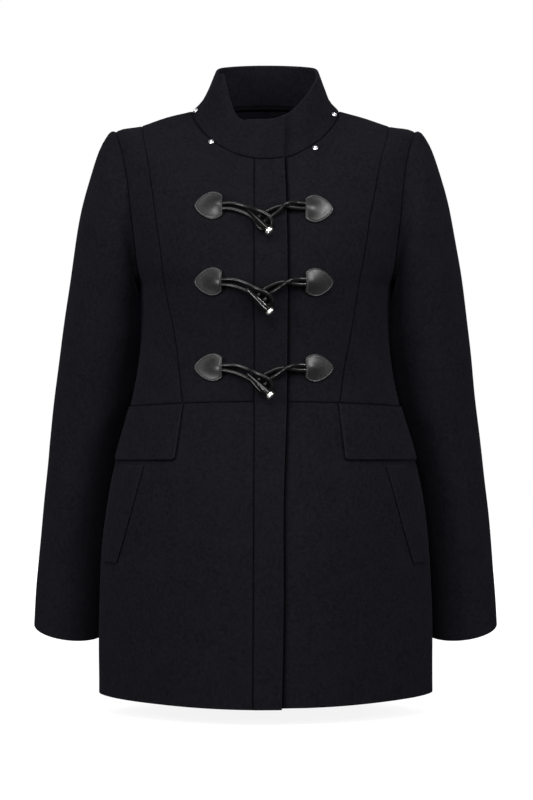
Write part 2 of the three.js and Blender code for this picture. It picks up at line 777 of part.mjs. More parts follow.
// A horn toggle: a slender cone with a metal cap on its thick end and two pockets for the cords.
function toggle(name, z) {
  const at = ([u, w, lift]) => frontPoint(u, z + w, lift);
  const tip = at(TOGGLE_TIP);
  const turn = turnFromY(at(TOGGLE_END).sub(tip));
  const turned = (profile) => {
    const outline = profile.map(([radius, height]) => new THREE.Vector2(radius, height));
    return new THREE.LatheGeometry(outline, 14).applyQuaternion(turn).translate(...tip.toArray());
  };
  let horn = solidOf(turned(HORN.map(({ radius, height }) => [radius, height])));
  for (const cord of CORD_IN) {
    const [u, w, lift] = cordMouth(cord);
    const inside = at([u - 0.35, w - 0.35, lift + 0.35]);
    const outside = at([u + 4, w + 4, lift - 4]);
    horn = horn.subtract(solidOf(rodGeometry(inside, outside, CORD_RADIUS + TOGGLE.holeClearance, 12)));
  }
  add(`toggle_horn_${name}`, geometryOf(horn), materials.horn);
  const { capLength, capSide, capEdge, capRadius, length } = TOGGLE;
  const foot = length - capLength + SEAM_GAP;
  const cap = [
    [0, foot],
    [capRadius, foot],
    [capRadius, foot + capSide],
    [capRadius - 1, foot + capEdge],
    [0, foot + capLength],
  ];
  add(`toggle_cap_${name}`, turned(cap), materials.metal);
}

// One fastening: two patches, the loop on the right, the two cords on the left and the toggle.
function toggleSet({ name, z, patchRight, patchLeft, slack }) {
  const routes = loopRoutes(slack);
  add(`patch_right_${name}`, patchGeometry(PATCH.rightEdge, -1, z + patchRight), materials.leather);
  add(`patch_left_${name}`, patchGeometry(PATCH.leftEdge, 1, z + patchLeft), materials.leather);
  add(`loop_right_${name}`, cordGeometry(routes.right, z, 36), materials.cord);
  add(`cord_left_over_${name}`, cordGeometry(routes.left, z, 12), materials.cord);
  add(`cord_left_under_${name}`, cordGeometry(routes.leftUnder, z, 12), materials.cord);
  toggle(name, z);
}

// A small metal stud with a dimple in its middle, set flat on the cloth below the neck seam or on the collar.
function hoodButton({ name, angle, down }) {
  const [surface, at, lift] = down < 0 ? [collar, -down, BUTTON.collarLift] : [body, NECK - down, BUTTON.lift];
  const out = surface.normal(angle * DEG, at);
  const { radius, thick, dimple, depth } = BUTTON;
  const profile = [
    [0, 0],
    [radius - 0.3, 0],
    [radius, thick * 0.3],
    [radius - 0.2, thick * 0.7],
    [radius * 0.62, thick],
    [dimple + 0.2, thick * 0.94],
    [dimple, thick - depth],
    [0, thick - depth],
  ];
  const outline = profile.map(([r, h]) => new THREE.Vector2(r, h));
  const mesh = add(name, new THREE.LatheGeometry(outline, 14), materials.stud);
  mesh.quaternion.copy(turnFromY(out));
  mesh.position.copy(surface.lifted(angle * DEG, at, lift));
}

sidePanels("right", -1);
sidePanels("left", 1);
frontBand();
collarWall();
sleeve("right_sleeve", -1);
sleeve("left_sleeve", 1);
pocket("right", POCKETS.right);
pocket("left", POCKETS.left);
TOGGLE_SETS.forEach(toggleSet);
HOOD_BUTTONS.forEach(hoodButton);

export default parts;
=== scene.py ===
"""The looks of a short woollen duffle coat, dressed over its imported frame.

The coat is shown filled out as if worn by nobody. Its front faces -Y and the wearer's left is +X.
"Right" and "left" are the wearer's. Sizes are in millimetres, and the meshes are made in metres.
"""

import logging
import math
from dataclasses import dataclass, field
from enum import Enum
from typing import Callable, Sequence

import bmesh
import bpy
import numpy as np
from mathutils import Matrix, Vector


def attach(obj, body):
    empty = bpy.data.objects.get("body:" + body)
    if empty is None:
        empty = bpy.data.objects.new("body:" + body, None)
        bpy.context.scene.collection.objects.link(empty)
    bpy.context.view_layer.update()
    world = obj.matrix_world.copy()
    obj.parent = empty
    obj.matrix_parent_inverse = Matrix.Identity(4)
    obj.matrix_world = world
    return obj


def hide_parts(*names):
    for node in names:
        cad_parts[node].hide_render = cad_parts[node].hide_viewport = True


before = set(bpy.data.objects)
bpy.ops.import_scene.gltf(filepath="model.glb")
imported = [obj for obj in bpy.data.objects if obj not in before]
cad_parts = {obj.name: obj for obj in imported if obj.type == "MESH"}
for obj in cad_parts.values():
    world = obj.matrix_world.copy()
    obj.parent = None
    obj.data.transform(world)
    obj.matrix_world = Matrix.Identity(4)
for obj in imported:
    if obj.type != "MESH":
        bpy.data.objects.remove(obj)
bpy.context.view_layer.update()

LOG = logging.getLogger("duffle_coat")
MM = 0.001
QUARTER = math.pi / 2
FINE = 1e-3
Array = np.ndarray
Pair = tuple[float, float]
Triple = tuple[float, float, float]
Colour = Triple
Socket = bpy.types.NodeSocket
Shape = bmesh.types.BMesh
Mesh = bpy.types.Mesh
Material = bpy.types.Material
Tint = Colour | Socket
AngleAt = Callable[[Array], Array]
LiftAt = Callable[[Array, Array], Array]

# Thickness of the cloth and of the collar, and the gaps between sewn pieces.
CLOTH = 2.5
COLLAR_THICK = 4.6
SEAM_GAP = 0.004
COLLAR_GAP = 0.004
ARMHOLE_GAP = 0.1

# Distances up along the cloth: the left front's hem, the waist seam, the upper end of a princess seam and how
# far the side front's point stops below it, the neck seam and, on the collar, its top.
LEFT_HEM = 1.5
WAIST = 377.0
PRINCESS_END = 763.0
PRINCESS_TIP = 1.5
NECK = 830.0
COLLAR_TOP = 54.0

# Cosines of the turn between which the collar's right front corner rises.
CORNER = (0.47, 0.9)

# Spacing of a grid's points away from its edges.
STEP = 6.0


def hermite(s: Array, start: Array, start_slope: Array, end: Array, end_slope: Array) -> Array:
    """Points of a cubic curve between two ends.

    Args:
        s: shares of the way from the first end to the other.
        start: the first end.
        start_slope: the curve's slope there, for the whole way.
        end: the other end.
        end_slope: its slope there.

    Returns:
        The points.
    """
    s2, s3 = s * s, s * s * s
    return (
        (2 * s3 - 3 * s2 + 1) * start
        + (s3 - 2 * s2 + s) * start_slope
        + (3 * s2 - 2 * s3) * end
        + (s3 - s2) * end_slope
    )


def through(key: Array, values: Array, at: Array) -> Array:
    """Values read along a smooth curve through given ones.

    Args:
        key: where the given values lie, in rising order.
        values: the given values, with their first axis along the key.
        at: the places to read.

    Returns:
        The values at the places, with at's axes before the values' own.
    """
    at = np.asarray(at, dtype=float)
    i = np.clip(np.searchsorted(key, at, side="right") - 1, 0, len(key) - 2)
    thin = (1,) * (values.ndim - 1)
    key, at = key.reshape(-1, *thin), at.reshape(*at.shape, *thin)
    slope = np.empty_like(values)
    slope[1:-1] = (values[2:] - values[:-2]) / (key[2:] - key[:-2])
    slope[0] = (values[1] - values[0]) / (key[1] - key[0])
    slope[-1] = (values[-1] - values[-2]) / (key[-1] - key[-2])
    span = key[i + 1] - key[i]
    s = np.clip((at - key[i]) / span, 0, 1)
    return hermite(s, values[i], span * slope[i], values[i + 1], span * slope[i + 1])


def full_turn(count: int) -> Array:
    """Angles evenly round a full turn, from 0."""
    return 2 * np.pi * np.arange(count) / count


@dataclass(frozen=True)
class Table:
    """Rows of numbers under named columns, read along a smooth curve through them.

    Attributes:
        columns: the columns' names; the first is the one that the table is read by.
        rows: the numbers, in rising order of the first column.
    """

    columns: tuple[str, ...]
    rows: tuple[tuple[float, ...], ...]

    def read(self, at: Array) -> dict[str, Array]:
        """Value of every column at places between the rows.

        Args:
            at: the places, in the first column's unit.

        Returns:
            An array of at's shape for each column.
        """
        grid = np.array(self.rows, dtype=float)
        made = through(grid[:, 0], grid, at)
        return dict(zip(self.columns, np.moveaxis(made, -1, 0)))


# Columns of a ring: its distance up along the cloth, its heights in front, at the side and behind, half its
# width, its depths in front and behind, how far its flanks are pinched in, and how steeply its height bends.
RING = (
    "along", "z_front", "z_side", "z_back", "half", "front", "back",
    "pinch_front", "pinch_back", "bend", "bend_back",
)

BODY = Table(RING, (
    (0, -757, -754, -757, 217, 153, 141, 0.28, 0.24, 2, 2),
    (120, -637, -635, -637, 215.5, 149, 139, 0.24, 0.2, 2, 2),
    (200, -557, -556, -557, 211.5, 145, 137, 0.18, 0.15, 2, 2),
    (270, -486, -487, -488, 202.5, 138, 130, 0.1, 0.08, 2, 2),
    (325, -430, -434, -434, 190, 129, 118, 0.04, 0.04, 2, 2),
    (377, -376, -382, -382, 175.5, 120, 105, 0, 0, 2, 2),
    (425, -329, -333, -333, 165, 117.5, 98, -0.03, -0.03, 2, 2),
    (470, -286, -288, -286, 161, 122, 100, -0.05, -0.05, 2, 2),
    (528, -231, -230, -226, 163.5, 131, 108, -0.06, -0.08, 2, 2),
    (548, -214, -210, -206, 172, 132, 111, -0.07, -0.09, 2, 2),
    (578, -190, -180, -181, 182, 130, 115, -0.08, -0.1, 2, 2),
    (628, -157, -130, -142, 195, 123, 117, -0.1, -0.12, 2, 2),
    (675, -132, -83, -105, 202, 115, 112, -0.12, -0.12, 2, 2),
    (727, -110, -28, -66, 195.5, 106, 102, -0.1, -0.08, 2, 2),
    (762, -97, -18.5, -40, 160, 99, 91, -0.06, -0.06, 1.8, 1.8),
    (797, -83, -6.5, -11, 126, 92, 80, -0.04, -0.06, 1.5, 1.5),
    (830, -69.5, 2, 17, 96, 86, 69, 0, -0.1, 1.3, 1.3),
))

COLLAR = Table(RING + ("corner", "shift"), (
    (0, -69.5, 2, 17, 96, 86, 69, 0, -0.1, 1.3, 1.3, 0, 0),
    (13, -57, 14, 29, 84, 83.5, 67.5, -0.02, -0.15, 1.15, 0.95, 0.2, 0),
    (27, -43, 26, 43, 77.5, 81, 65, -0.04, -0.22, 1.35, 0.75, 0.5, 1),
    (41, -29.5, 37, 57, 72, 78.5, 62, -0.04, -0.3, 1.55, 0.55, 0.8, 1.5),
    (54, -17.5, 46.5, 69.5, 66.5, 76, 59, -0.02, -0.35, 1.7, 0.38, 1, 2),
))

# Distances across of the band's seam and of its free edge.
BAND = Table(("along", "seam", "edge"), (
    (0, -15.5, 20.5),
    (120, -15, 22.5),
    (250, -14.5, 22.5),
    (377, -14, 26.5),
    (560, -14, 27.5),
    (830, -14, 24),
))

# Distances across of both princess seams.
PRINCESS = Table(("along", "right", "left"), (
    (377, 104, 93),
    (425, 109.5, 100),
    (470, 116, 108.5),
    (528, 127, 118),
    (578, 133, 126),
    (628, 139, 132),
    (675, 144, 139),
    (727, 151, 148),
    (763, 159, 159),
))

# How far out the cloth is cut for the armhole, by height.
ARMHOLE = Table(("z", "x"), (
    (-300, 215),
    (-260, 183),
    (-232, 163.5),
    (-200, 166),
    (-150, 171.5),
    (-100, 177),
    (-60, 184),
    (-28, 195.5),
    (40, 230),
))

# Where the armhole's cut is looked for: stretches of the side and shoulder seams, as distances up, and the
# angle from the middle of the front or the back at which the search begins.
ARMPIT_BETWEEN = (500.0, 600.0)
SHOULDER_BETWEEN = (690.0, 760.0)
SEARCH_FROM = 0.3

# A sleeve's sections down the arm: the places of its outer and inner side, and its middle, depth and tilt.
SLEEVE_COLUMNS = ("out_x", "out_z", "in_x", "in_z", "mid", "depth", "tilt")
SLEEVE = Table(SLEEVE_COLUMNS, (
    (203, -32, 166.5, -238, 0, 63, 0),
    (213, -50, 165, -245, 2, 67, 0),
    (224, -82, 164.5, -253, 4, 69, 0),
    (236.5, -126, 164, -264, 8, 69, 0),
    (247, -181, 163.5, -281, 13, 68, 0),
    (257, -243, 162.5, -308, 20, 66, 0),
    (266, -309, 168, -346, 27, 63, 0),
    (275, -381, 179.5, -401, 37, 60, 1),
    (284, -455, 195, -463, 45, 57, 3),
    (292.5, -530, 206, -534, 50, 55, 6),
    (299, -602, 211, -608, 53, 53, 9),
    (303, -670, 213.5, -681, 54, 52, 11),
))


def smooth(x: Array, low: float, high: float) -> Array:
    """A soft step from 0 at low to 1 at high."""
    s = np.clip((x - low) / (high - low), 0, 1)
    return s * s * (3 - 2 * s)


def unit(v: Array) -> Array:
    """The same vectors with a length of one."""
    return v / np.maximum(np.linalg.norm(v, axis=-1, keepdims=True), 1e-12)


def solve(f: Callable[[Array], Array], low: Array, high: Array) -> Array:
    """Roots of a rising function, each between its own two bounds.

    Args:
        f: the function, of an array of places.
        low: the lower bounds.
        high: the upper bounds.

    Returns:
        The places where f changes sign.
    """
    low, high = np.array(low, dtype=float), np.array(high, dtype=float)
    for _ in range(40):
        middle = (low + high) / 2
        below = f(middle) < 0
        low = np.where(below, middle, low)
        high = np.where(below, high, middle)
    return (low + high) / 2


@dataclass(frozen=True)
class Fold:
    """A soft ridge or trough pressed into the cloth along a line.

    Attributes:
        start: one end of the line, a point in space.
        end: its other end.
        width: how far it reaches to each side.
        depth: its height in the middle, below zero for a trough.
    """

    start: Triple
    end: Triple
    width: float
    depth: float

    def height(self, points: Array) -> Array:
        """How far the fold lifts the cloth at points near it.

        Args:
            points: the points.

        Returns:
            A height for each point.
        """
        a, b = np.array(self.start), np.array(self.end)
        line = b - a
        share = np.clip(((points - a) @ line) / (line @ line), 0, 1)
        away = np.linalg.norm(points - a - share[..., None] * line, axis=-1)
        return self.depth * np.exp(-((away / self.width) ** 2)) * (0.55 + 0.45 * np.sin(np.pi * share))


@dataclass(frozen=True)
class Ripple:
    """A long shallow wave through the cloth, which keeps it from lying like sheet metal.

    Attributes:
        reach: the lengths over which it swings, across, deep and up.
        phase: where it starts.
        size: its height.
    """

    reach: Triple
    phase: float
    size: float

    def height(self, points: Array) -> Array:
        """How far the wave lifts the cloth at each point."""
        turn = points @ (2 * np.pi / np.array(self.reach))
        return self.size * np.sin(turn + self.phase)


RIPPLES = (
    Ripple((210, 530, 340), 0.4, 0.45),
    Ripple((-150, 300, 270), 2.1, 0.3),
    Ripple((97, -240, 410), 4.0, 0.22),
    Ripple((330, 170, -120), 1.1, 0.22),
)


@dataclass
class RingSurface:
    """A surface over an angle and a distance, made from a table of rings.

    The angle runs from the middle front, 0, over the wearer's left side, a quarter turn.

    Attributes:
        table: the rings.
        folds: what is pressed into the cloth that lies on the surface.
    """

    table: Table
    folds: list[Fold] = field(default_factory=list)

    def point(self, angle: Array, at: Array) -> Array:
        """Points of the bare surface.

        Args:
            angle: the angles round.
            at: the distances up.

        Returns:
            The points.
        """
        ring = self.table.read(at)
        sin, cos = np.sin(angle), np.cos(angle)
        front = cos > 0
        depth = np.where(front, ring["front"], ring["back"])
        pinch = np.where(front, ring["pinch_front"], ring["pinch_back"])
        end = np.where(front, ring["z_front"], ring["z_back"])
        bend = np.where(front, ring["bend"], ring["bend_back"])
        x = ring.get("shift", 0) + ring["half"] * sin
        y = -depth * cos * (1 - pinch * sin * sin)
        plain = np.maximum(np.abs(cos), 1e-9) ** bend
        corner = np.where(front & (sin < 0), ring.get("corner", 0.0), 0.0)
        z = ring["z_side"] + (end - ring["z_side"]) * (plain + corner * (smooth(cos, *CORNER) - plain))
        return np.stack(np.broadcast_arrays(x, y, z), axis=-1)

    def normal(self, angle: Array, at: Array) -> Array:
        """Outward normals of the bare surface.

        Args:
            angle: the angles round.
            at: the distances up.

        Returns:
            A unit vector for each place.
        """
        angle, at = np.broadcast_arrays(np.asarray(angle, float), np.asarray(at, float))
        lower = np.maximum(at - FINE * 100, self.table.rows[0][0])
        upper = np.minimum(at + FINE * 100, self.table.rows[-1][0])
        across = self.point(angle + FINE, at) - self.point(angle - FINE, at)
        along = self.point(angle, upper) - self.point(angle, lower)
        return unit(np.cross(across, along))

    def lifted(self, angle: Array, at: Array, lift: Array = 0.0) -> Array:
        """Points of the creased cloth, moved out by a lift.

        Args:
            angle: the angles round.
            at: the distances up.
            lift: how far they stand off the bare surface.

        Returns:
            The points.
        """
        points = self.point(angle, at)
        total = np.asarray(lift, float) + self.relief(points)
        return points + self.normal(angle, at) * np.broadcast_to(total, points.shape[:-1])[..., None]

    def relief(self, points: Array) -> Array:
        """The height of all folds and ripples together.

        Args:
            points: points of the bare surface.

        Returns:
            A height for each point.
        """
        total = sum(r.height(points) for r in RIPPLES)
        for fold in self.folds:
            total = total + fold.height(points)
        return total

    def reach(self, angle: Array, at: Array) -> Array:
        """Length on the surface of one radian round, at each place."""
        across = self.point(angle + FINE, at) - self.point(angle - FINE, at)
        return np.linalg.norm(across, axis=-1) / (2 * FINE)

    def nudged(self, angle: Array, at: Array, distance: Array) -> Array:
        """The angles moved round by a distance measured on the surface."""
        return angle + distance / self.reach(angle, at)

    def angle_across(self, x: Array, at: Array) -> Array:
        """The angles at which the front of a ring is a given distance across."""
        return np.arcsin(np.clip(x / self.table.read(at)["half"], -1, 1))


@dataclass
class Body(RingSurface):
    """The surface round the wearer's body, with the places that the cut refers to.

    Attributes:
        armpit: distance up at which the armhole's cut meets the side seam.
        shoulder: distance up at which it meets the shoulder seam.
    """

    armpit: float = field(init=False)
    shoulder: float = field(init=False)

    def __post_init__(self) -> None:
        """Works out where the armhole's cut crosses the side seam and the shoulder seam."""

        def outside(at: Array) -> Array:
            """How far the seam lies outside the cut."""
            return self.beyond_armhole(QUARTER, at)

        self.armpit = float(solve(outside, *ARMPIT_BETWEEN))
        self.shoulder = float(solve(lambda at: -outside(at), *SHOULDER_BETWEEN))

    def front_at(self, x: Array, z: Array) -> tuple[Array, Array]:
        """Angles and distances up of points on the front, given across and by height.

        Args:
            x: their distances across.
            z: their heights.

        Returns:
            The angles, and the distances up.
        """
        x, z = np.broadcast_arrays(np.asarray(x, float), np.asarray(z, float))

        def above(at: Array) -> Array:
            """How far the surface lies above the wanted height."""
            return self.point(self.angle_across(x, at), at)[..., 2] - z

        at = solve(above, np.zeros(x.shape), np.full(x.shape, NECK))
        return self.angle_across(x, at), at

    def front_point(self, x: Array, z: Array, lift: Array) -> Array:
        """Points over the front, given across, by height and by how far they stand off it."""
        angle, at = self.front_at(x, z)
        return self.lifted(angle, at, lift)

    def beyond_armhole(self, angle: Array, at: Array) -> Array:
        """How far places on the surface lie outside the armhole's cut."""
        p = self.point(angle, at)
        return np.abs(p[..., 0]) - ARMHOLE.read(p[..., 2])["x"]

    def armhole_angle(self, at: Array, is_front: bool) -> Array:
        """The angles, on the wearer's left, where the cloth is cut for the armhole.

        Args:
            at: the distances up.
            is_front: whether the front edge or the back edge is meant.

        Returns:
            An angle for each distance, a quarter turn where there is no armhole.
        """
        at = np.asarray(at, float)
        outward = 1 if is_front else -1
        start = SEARCH_FROM if is_front else math.pi - SEARCH_FROM
        turn = solve(
            lambda t: self.beyond_armhole(start + outward * t, at),
            np.zeros(at.shape),
            np.full(at.shape, QUARTER - SEARCH_FROM),
        )
        outside = (at <= self.armpit + FINE) | (at >= self.shoulder - FINE)
        return np.where(outside, QUARTER, start + outward * turn)


class Edge(Enum):
    """How the edge of a cut piece ends: how deep and how wide its faces turn in, outside and inside."""

    HIDDEN = (0.0, 0.1, 0.0)
    SEAM = (1.45, 3.6, 0.0)
    FREE = (1.15, 1.5, 1.15)
    COLLAR_EDGE = (2.15, 2.6, 2.15)
    FLAP_EDGE = (1.6, 1.9, 1.6)

    def outer(self, away: Array) -> Array:
        """How far the outer face turns in at distances from the edge."""
        return self.round_off(away, self.value[0])

    def inner(self, away: Array) -> Array:
        """How far the inner face turns in at distances from the edge."""
        return self.round_off(away, self.value[2])

    def is_sewn(self) -> bool:
        """Whether another piece is sewn to it."""
        return self is Edge.SEAM

    def is_free(self) -> bool:
        """Whether it is a finished edge that can be seen."""
        return not self.is_sewn() and self is not Edge.HIDDEN

    def round_off(self, away: Array, depth: float) -> Array:
        """A quarter of an ellipse, from its full depth at the edge to nothing."""
        left = 1 - np.clip(away / self.value[1], 0, 1)
        return depth * (1 - np.sqrt(1 - left * left))


# Distances from a cut edge at which a grid has a line of points, and the most of a row's width that the lines
# beside one edge may take.
EDGE_LINES = (0.0, 0.25, 0.7, 1.3, 2.0, 2.9, 4.4)
EDGE_SHARE = 0.3

# What is added to a point's distance from a seam so that the seam is only lightly shaded, and the distance at
# which an edge no longer counts.
LIGHTLY = 1.25
FAR = 10.0


def spread(length: float, step: float) -> Array:
    """Places along a length: close together at both ends, and evenly between.

    Args:
        length: the whole length.
        step: the distance between places in its middle part.

    Returns:
        The places, from 0 to length.
    """
    scale = min(1.0, length / (3 * EDGE_LINES[-1]))
    ends = np.array(EDGE_LINES) * scale
    count = max(1, round((length - 2 * ends[-1]) / step))
    middle = np.linspace(ends[-1], length - ends[-1], count + 1)[1:-1]
    return np.concatenate([ends, middle, length - ends[::-1]])


def made_mesh(bm: Shape, name: str) -> Mesh:
    """A mesh made of a bmesh.

    Args:
        bm: the shape; it is freed.
        name: the mesh's name.

    Returns:
        The mesh.
    """
    mesh = bpy.data.meshes.new(name)
    bm.to_mesh(mesh)
    bm.free()
    return mesh


def aimed(place: Vector, way: Vector) -> Matrix:
    """The move, in metres, that takes a shape from the Z axis to a place in millimetres, pointing a way."""
    return Matrix.Translation(place * MM) @ way.to_track_quat("Z", "Y").to_matrix().to_4x4()


def dress(mesh: Mesh | Shape, name: str, nodes: Sequence[str], finish: "Finish") -> bpy.types.Object:
    """Makes a finished piece that rides on the frame, and hides the frame's parts that it stands for.

    Args:
        mesh: its mesh or its bmesh, in metres; a bmesh is freed.
        name: its name.
        nodes: the frame's nodes that it stands for.
        finish: what it is made of.

    Returns:
        The piece.
    """
    if isinstance(mesh, Shape):
        mesh = made_mesh(mesh, name)
    mesh.polygons.foreach_set("use_smooth", np.ones(len(mesh.polygons), dtype=bool))
    mesh.update()
    piece = bpy.data.objects.new(name, mesh)
    bpy.context.scene.collection.objects.link(piece)
    piece.data.materials.append(finish.material())
    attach(piece, "root")
    if nodes:
        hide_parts(*nodes)
    LOG.info("%s: %d faces", name, len(mesh.polygons))
    return piece


def turned_out(mesh: Mesh) -> None:
    """Turns a closed mesh's faces outwards.

    Args:
        mesh: the mesh.
    """
    bm = bmesh.new()
    bm.from_mesh(mesh)
    bmesh.ops.recalc_face_normals(bm, faces=bm.faces[:])
    if bm.calc_volume(signed=True) < 0:
        bmesh.ops.reverse_faces(bm, faces=bm.faces[:])
    bm.to_mesh(mesh)
    bm.free()


def welded_grid(rows: int, columns: int, is_round: bool) -> Shape:
    """A flat grid that remembers which row and column each of its points came from.

    Args:
        rows: how many rows of points.
        columns: how many columns of points.
        is_round: whether its last column is joined to its first, with no gap between them.

    Returns:
        The grid, with the layer "place" on its points.
    """
    bm = bmesh.new()
    wide = columns + 1 if is_round else columns
    bmesh.ops.create_grid(bm, x_segments=wide - 1, y_segments=rows - 1, size=1.0)
    place = bm.verts.layers.int.new("place")
    corner: dict[tuple[int, int], bmesh.types.BMVert] = {}
    for v in bm.verts:
        c = round((v.co.x + 1) / 2 * (wide - 1))
        r = round((v.co.y + 1) / 2 * (rows - 1))
        v[place] = r * columns + c % columns
        corner[r, c] = v
    if is_round:
        last = {corner[r, columns]: corner[r, 0] for r in range(rows)}
        bmesh.ops.weld_verts(bm, targetmap=last)
    return bm


def wall_mesh(name: str, outer: Array, inner: Array, away: Array, is_round: bool = False) -> Mesh:
    """A closed wall between two matching grids of points.

    Args:
        name: the mesh's name.
        outer: the outer face's points, rows by columns, in millimetres.
        inner: the inner face's points.
        away: how far each point is from a sewn edge and from a free one.
        is_round: whether its last column joins its first.

    Returns:
        The wall, in metres, with its faces outwards.
    """
    rows, columns = outer.shape[:2]
    bm = welded_grid(rows, columns, is_round)
    layer = bm.verts.layers.int["place"]
    grown = bmesh.ops.extrude_face_region(bm, geom=bm.faces[:], use_keep_orig=True)
    for v in (g for g in grown["geom"] if isinstance(g, bmesh.types.BMVert)):
        v[layer] += rows * columns
    mesh = made_mesh(bm, name)
    both = np.concatenate([away.reshape(-1, 2)] * 2)
    return placed(mesh, np.concatenate([outer.reshape(-1, 3), inner.reshape(-1, 3)]), both)


def mark_edges(mesh: Mesh, away: Array) -> None:
    """Keeps in the map "edges" how far a mesh's points are from a sewn edge and from a free one, for the
    wool's painted shade and painted highlight.

    Args:
        mesh: the mesh.
        away: the two distances for each of its points, in millimetres.
    """
    corner = np.empty(len(mesh.loops), dtype=np.int32)
    mesh.loops.foreach_get("vertex_index", corner)
    marks = mesh.uv_layers.new(name="edges")
    marks.data.foreach_set("uv", np.clip(away / FAR, -1, 1)[corner].astype(np.float32).ravel())


def placed(mesh: Mesh, points: Array, away: Array | None = None) -> Mesh:
    """Moves every point of a mesh to the place that it remembers.

    Args:
        mesh: a mesh with the attribute "place" on its points.
        points: all places, in millimetres.
        away: how far each place is from a sewn edge and from a free one, for cloth.

    Returns:
        The same mesh, in metres, with its faces outwards.
    """
    remembered = mesh.attributes["place"]
    index = np.empty(len(mesh.vertices), dtype=np.int32)
    remembered.data.foreach_get("value", index)
    mesh.vertices.foreach_set("co", (points[index] * MM).astype(np.float32).ravel())
    mesh.attributes.remove(remembered)
    mesh.update()
    if away is not None:
        mark_edges(mesh, away[index])
    turned_out(mesh)
    return mesh


def skin_mesh(name: str, rings: Array) -> Mesh:
    """A closed skin over rings of points, whose first and last rings are closed by a pole each.

    Args:
        name: the mesh's name.
        rings: the points, rings by points round, in millimetres.

    Returns:
        The skin, in metres, with its faces outwards.
    """
    rows, columns = rings.shape[:2]
    bm = welded_grid(rows, columns, is_round=True)
    layer = bm.verts.layers.int["place"]
    for first, pole in ((0, rows * columns), ((rows - 1) * columns, rows * columns + 1)):
        rim = [e for e in bm.edges if all(first <= v[layer] < first + columns for v in e.verts)]
        grown = bmesh.ops.extrude_edge_only(bm, edges=rim)["geom"]
        tips = [g for g in grown if isinstance(g, bmesh.types.BMVert)]
        for v in tips:
            v[layer] = pole
        bmesh.ops.pointmerge(bm, verts=tips, merge_co=(0, 0, pole))
    mesh = made_mesh(bm, name)
    poles = np.stack([rings[0].mean(axis=0), rings[-1].mean(axis=0)])
    return placed(mesh, np.concatenate([rings.reshape(-1, 3), poles]))


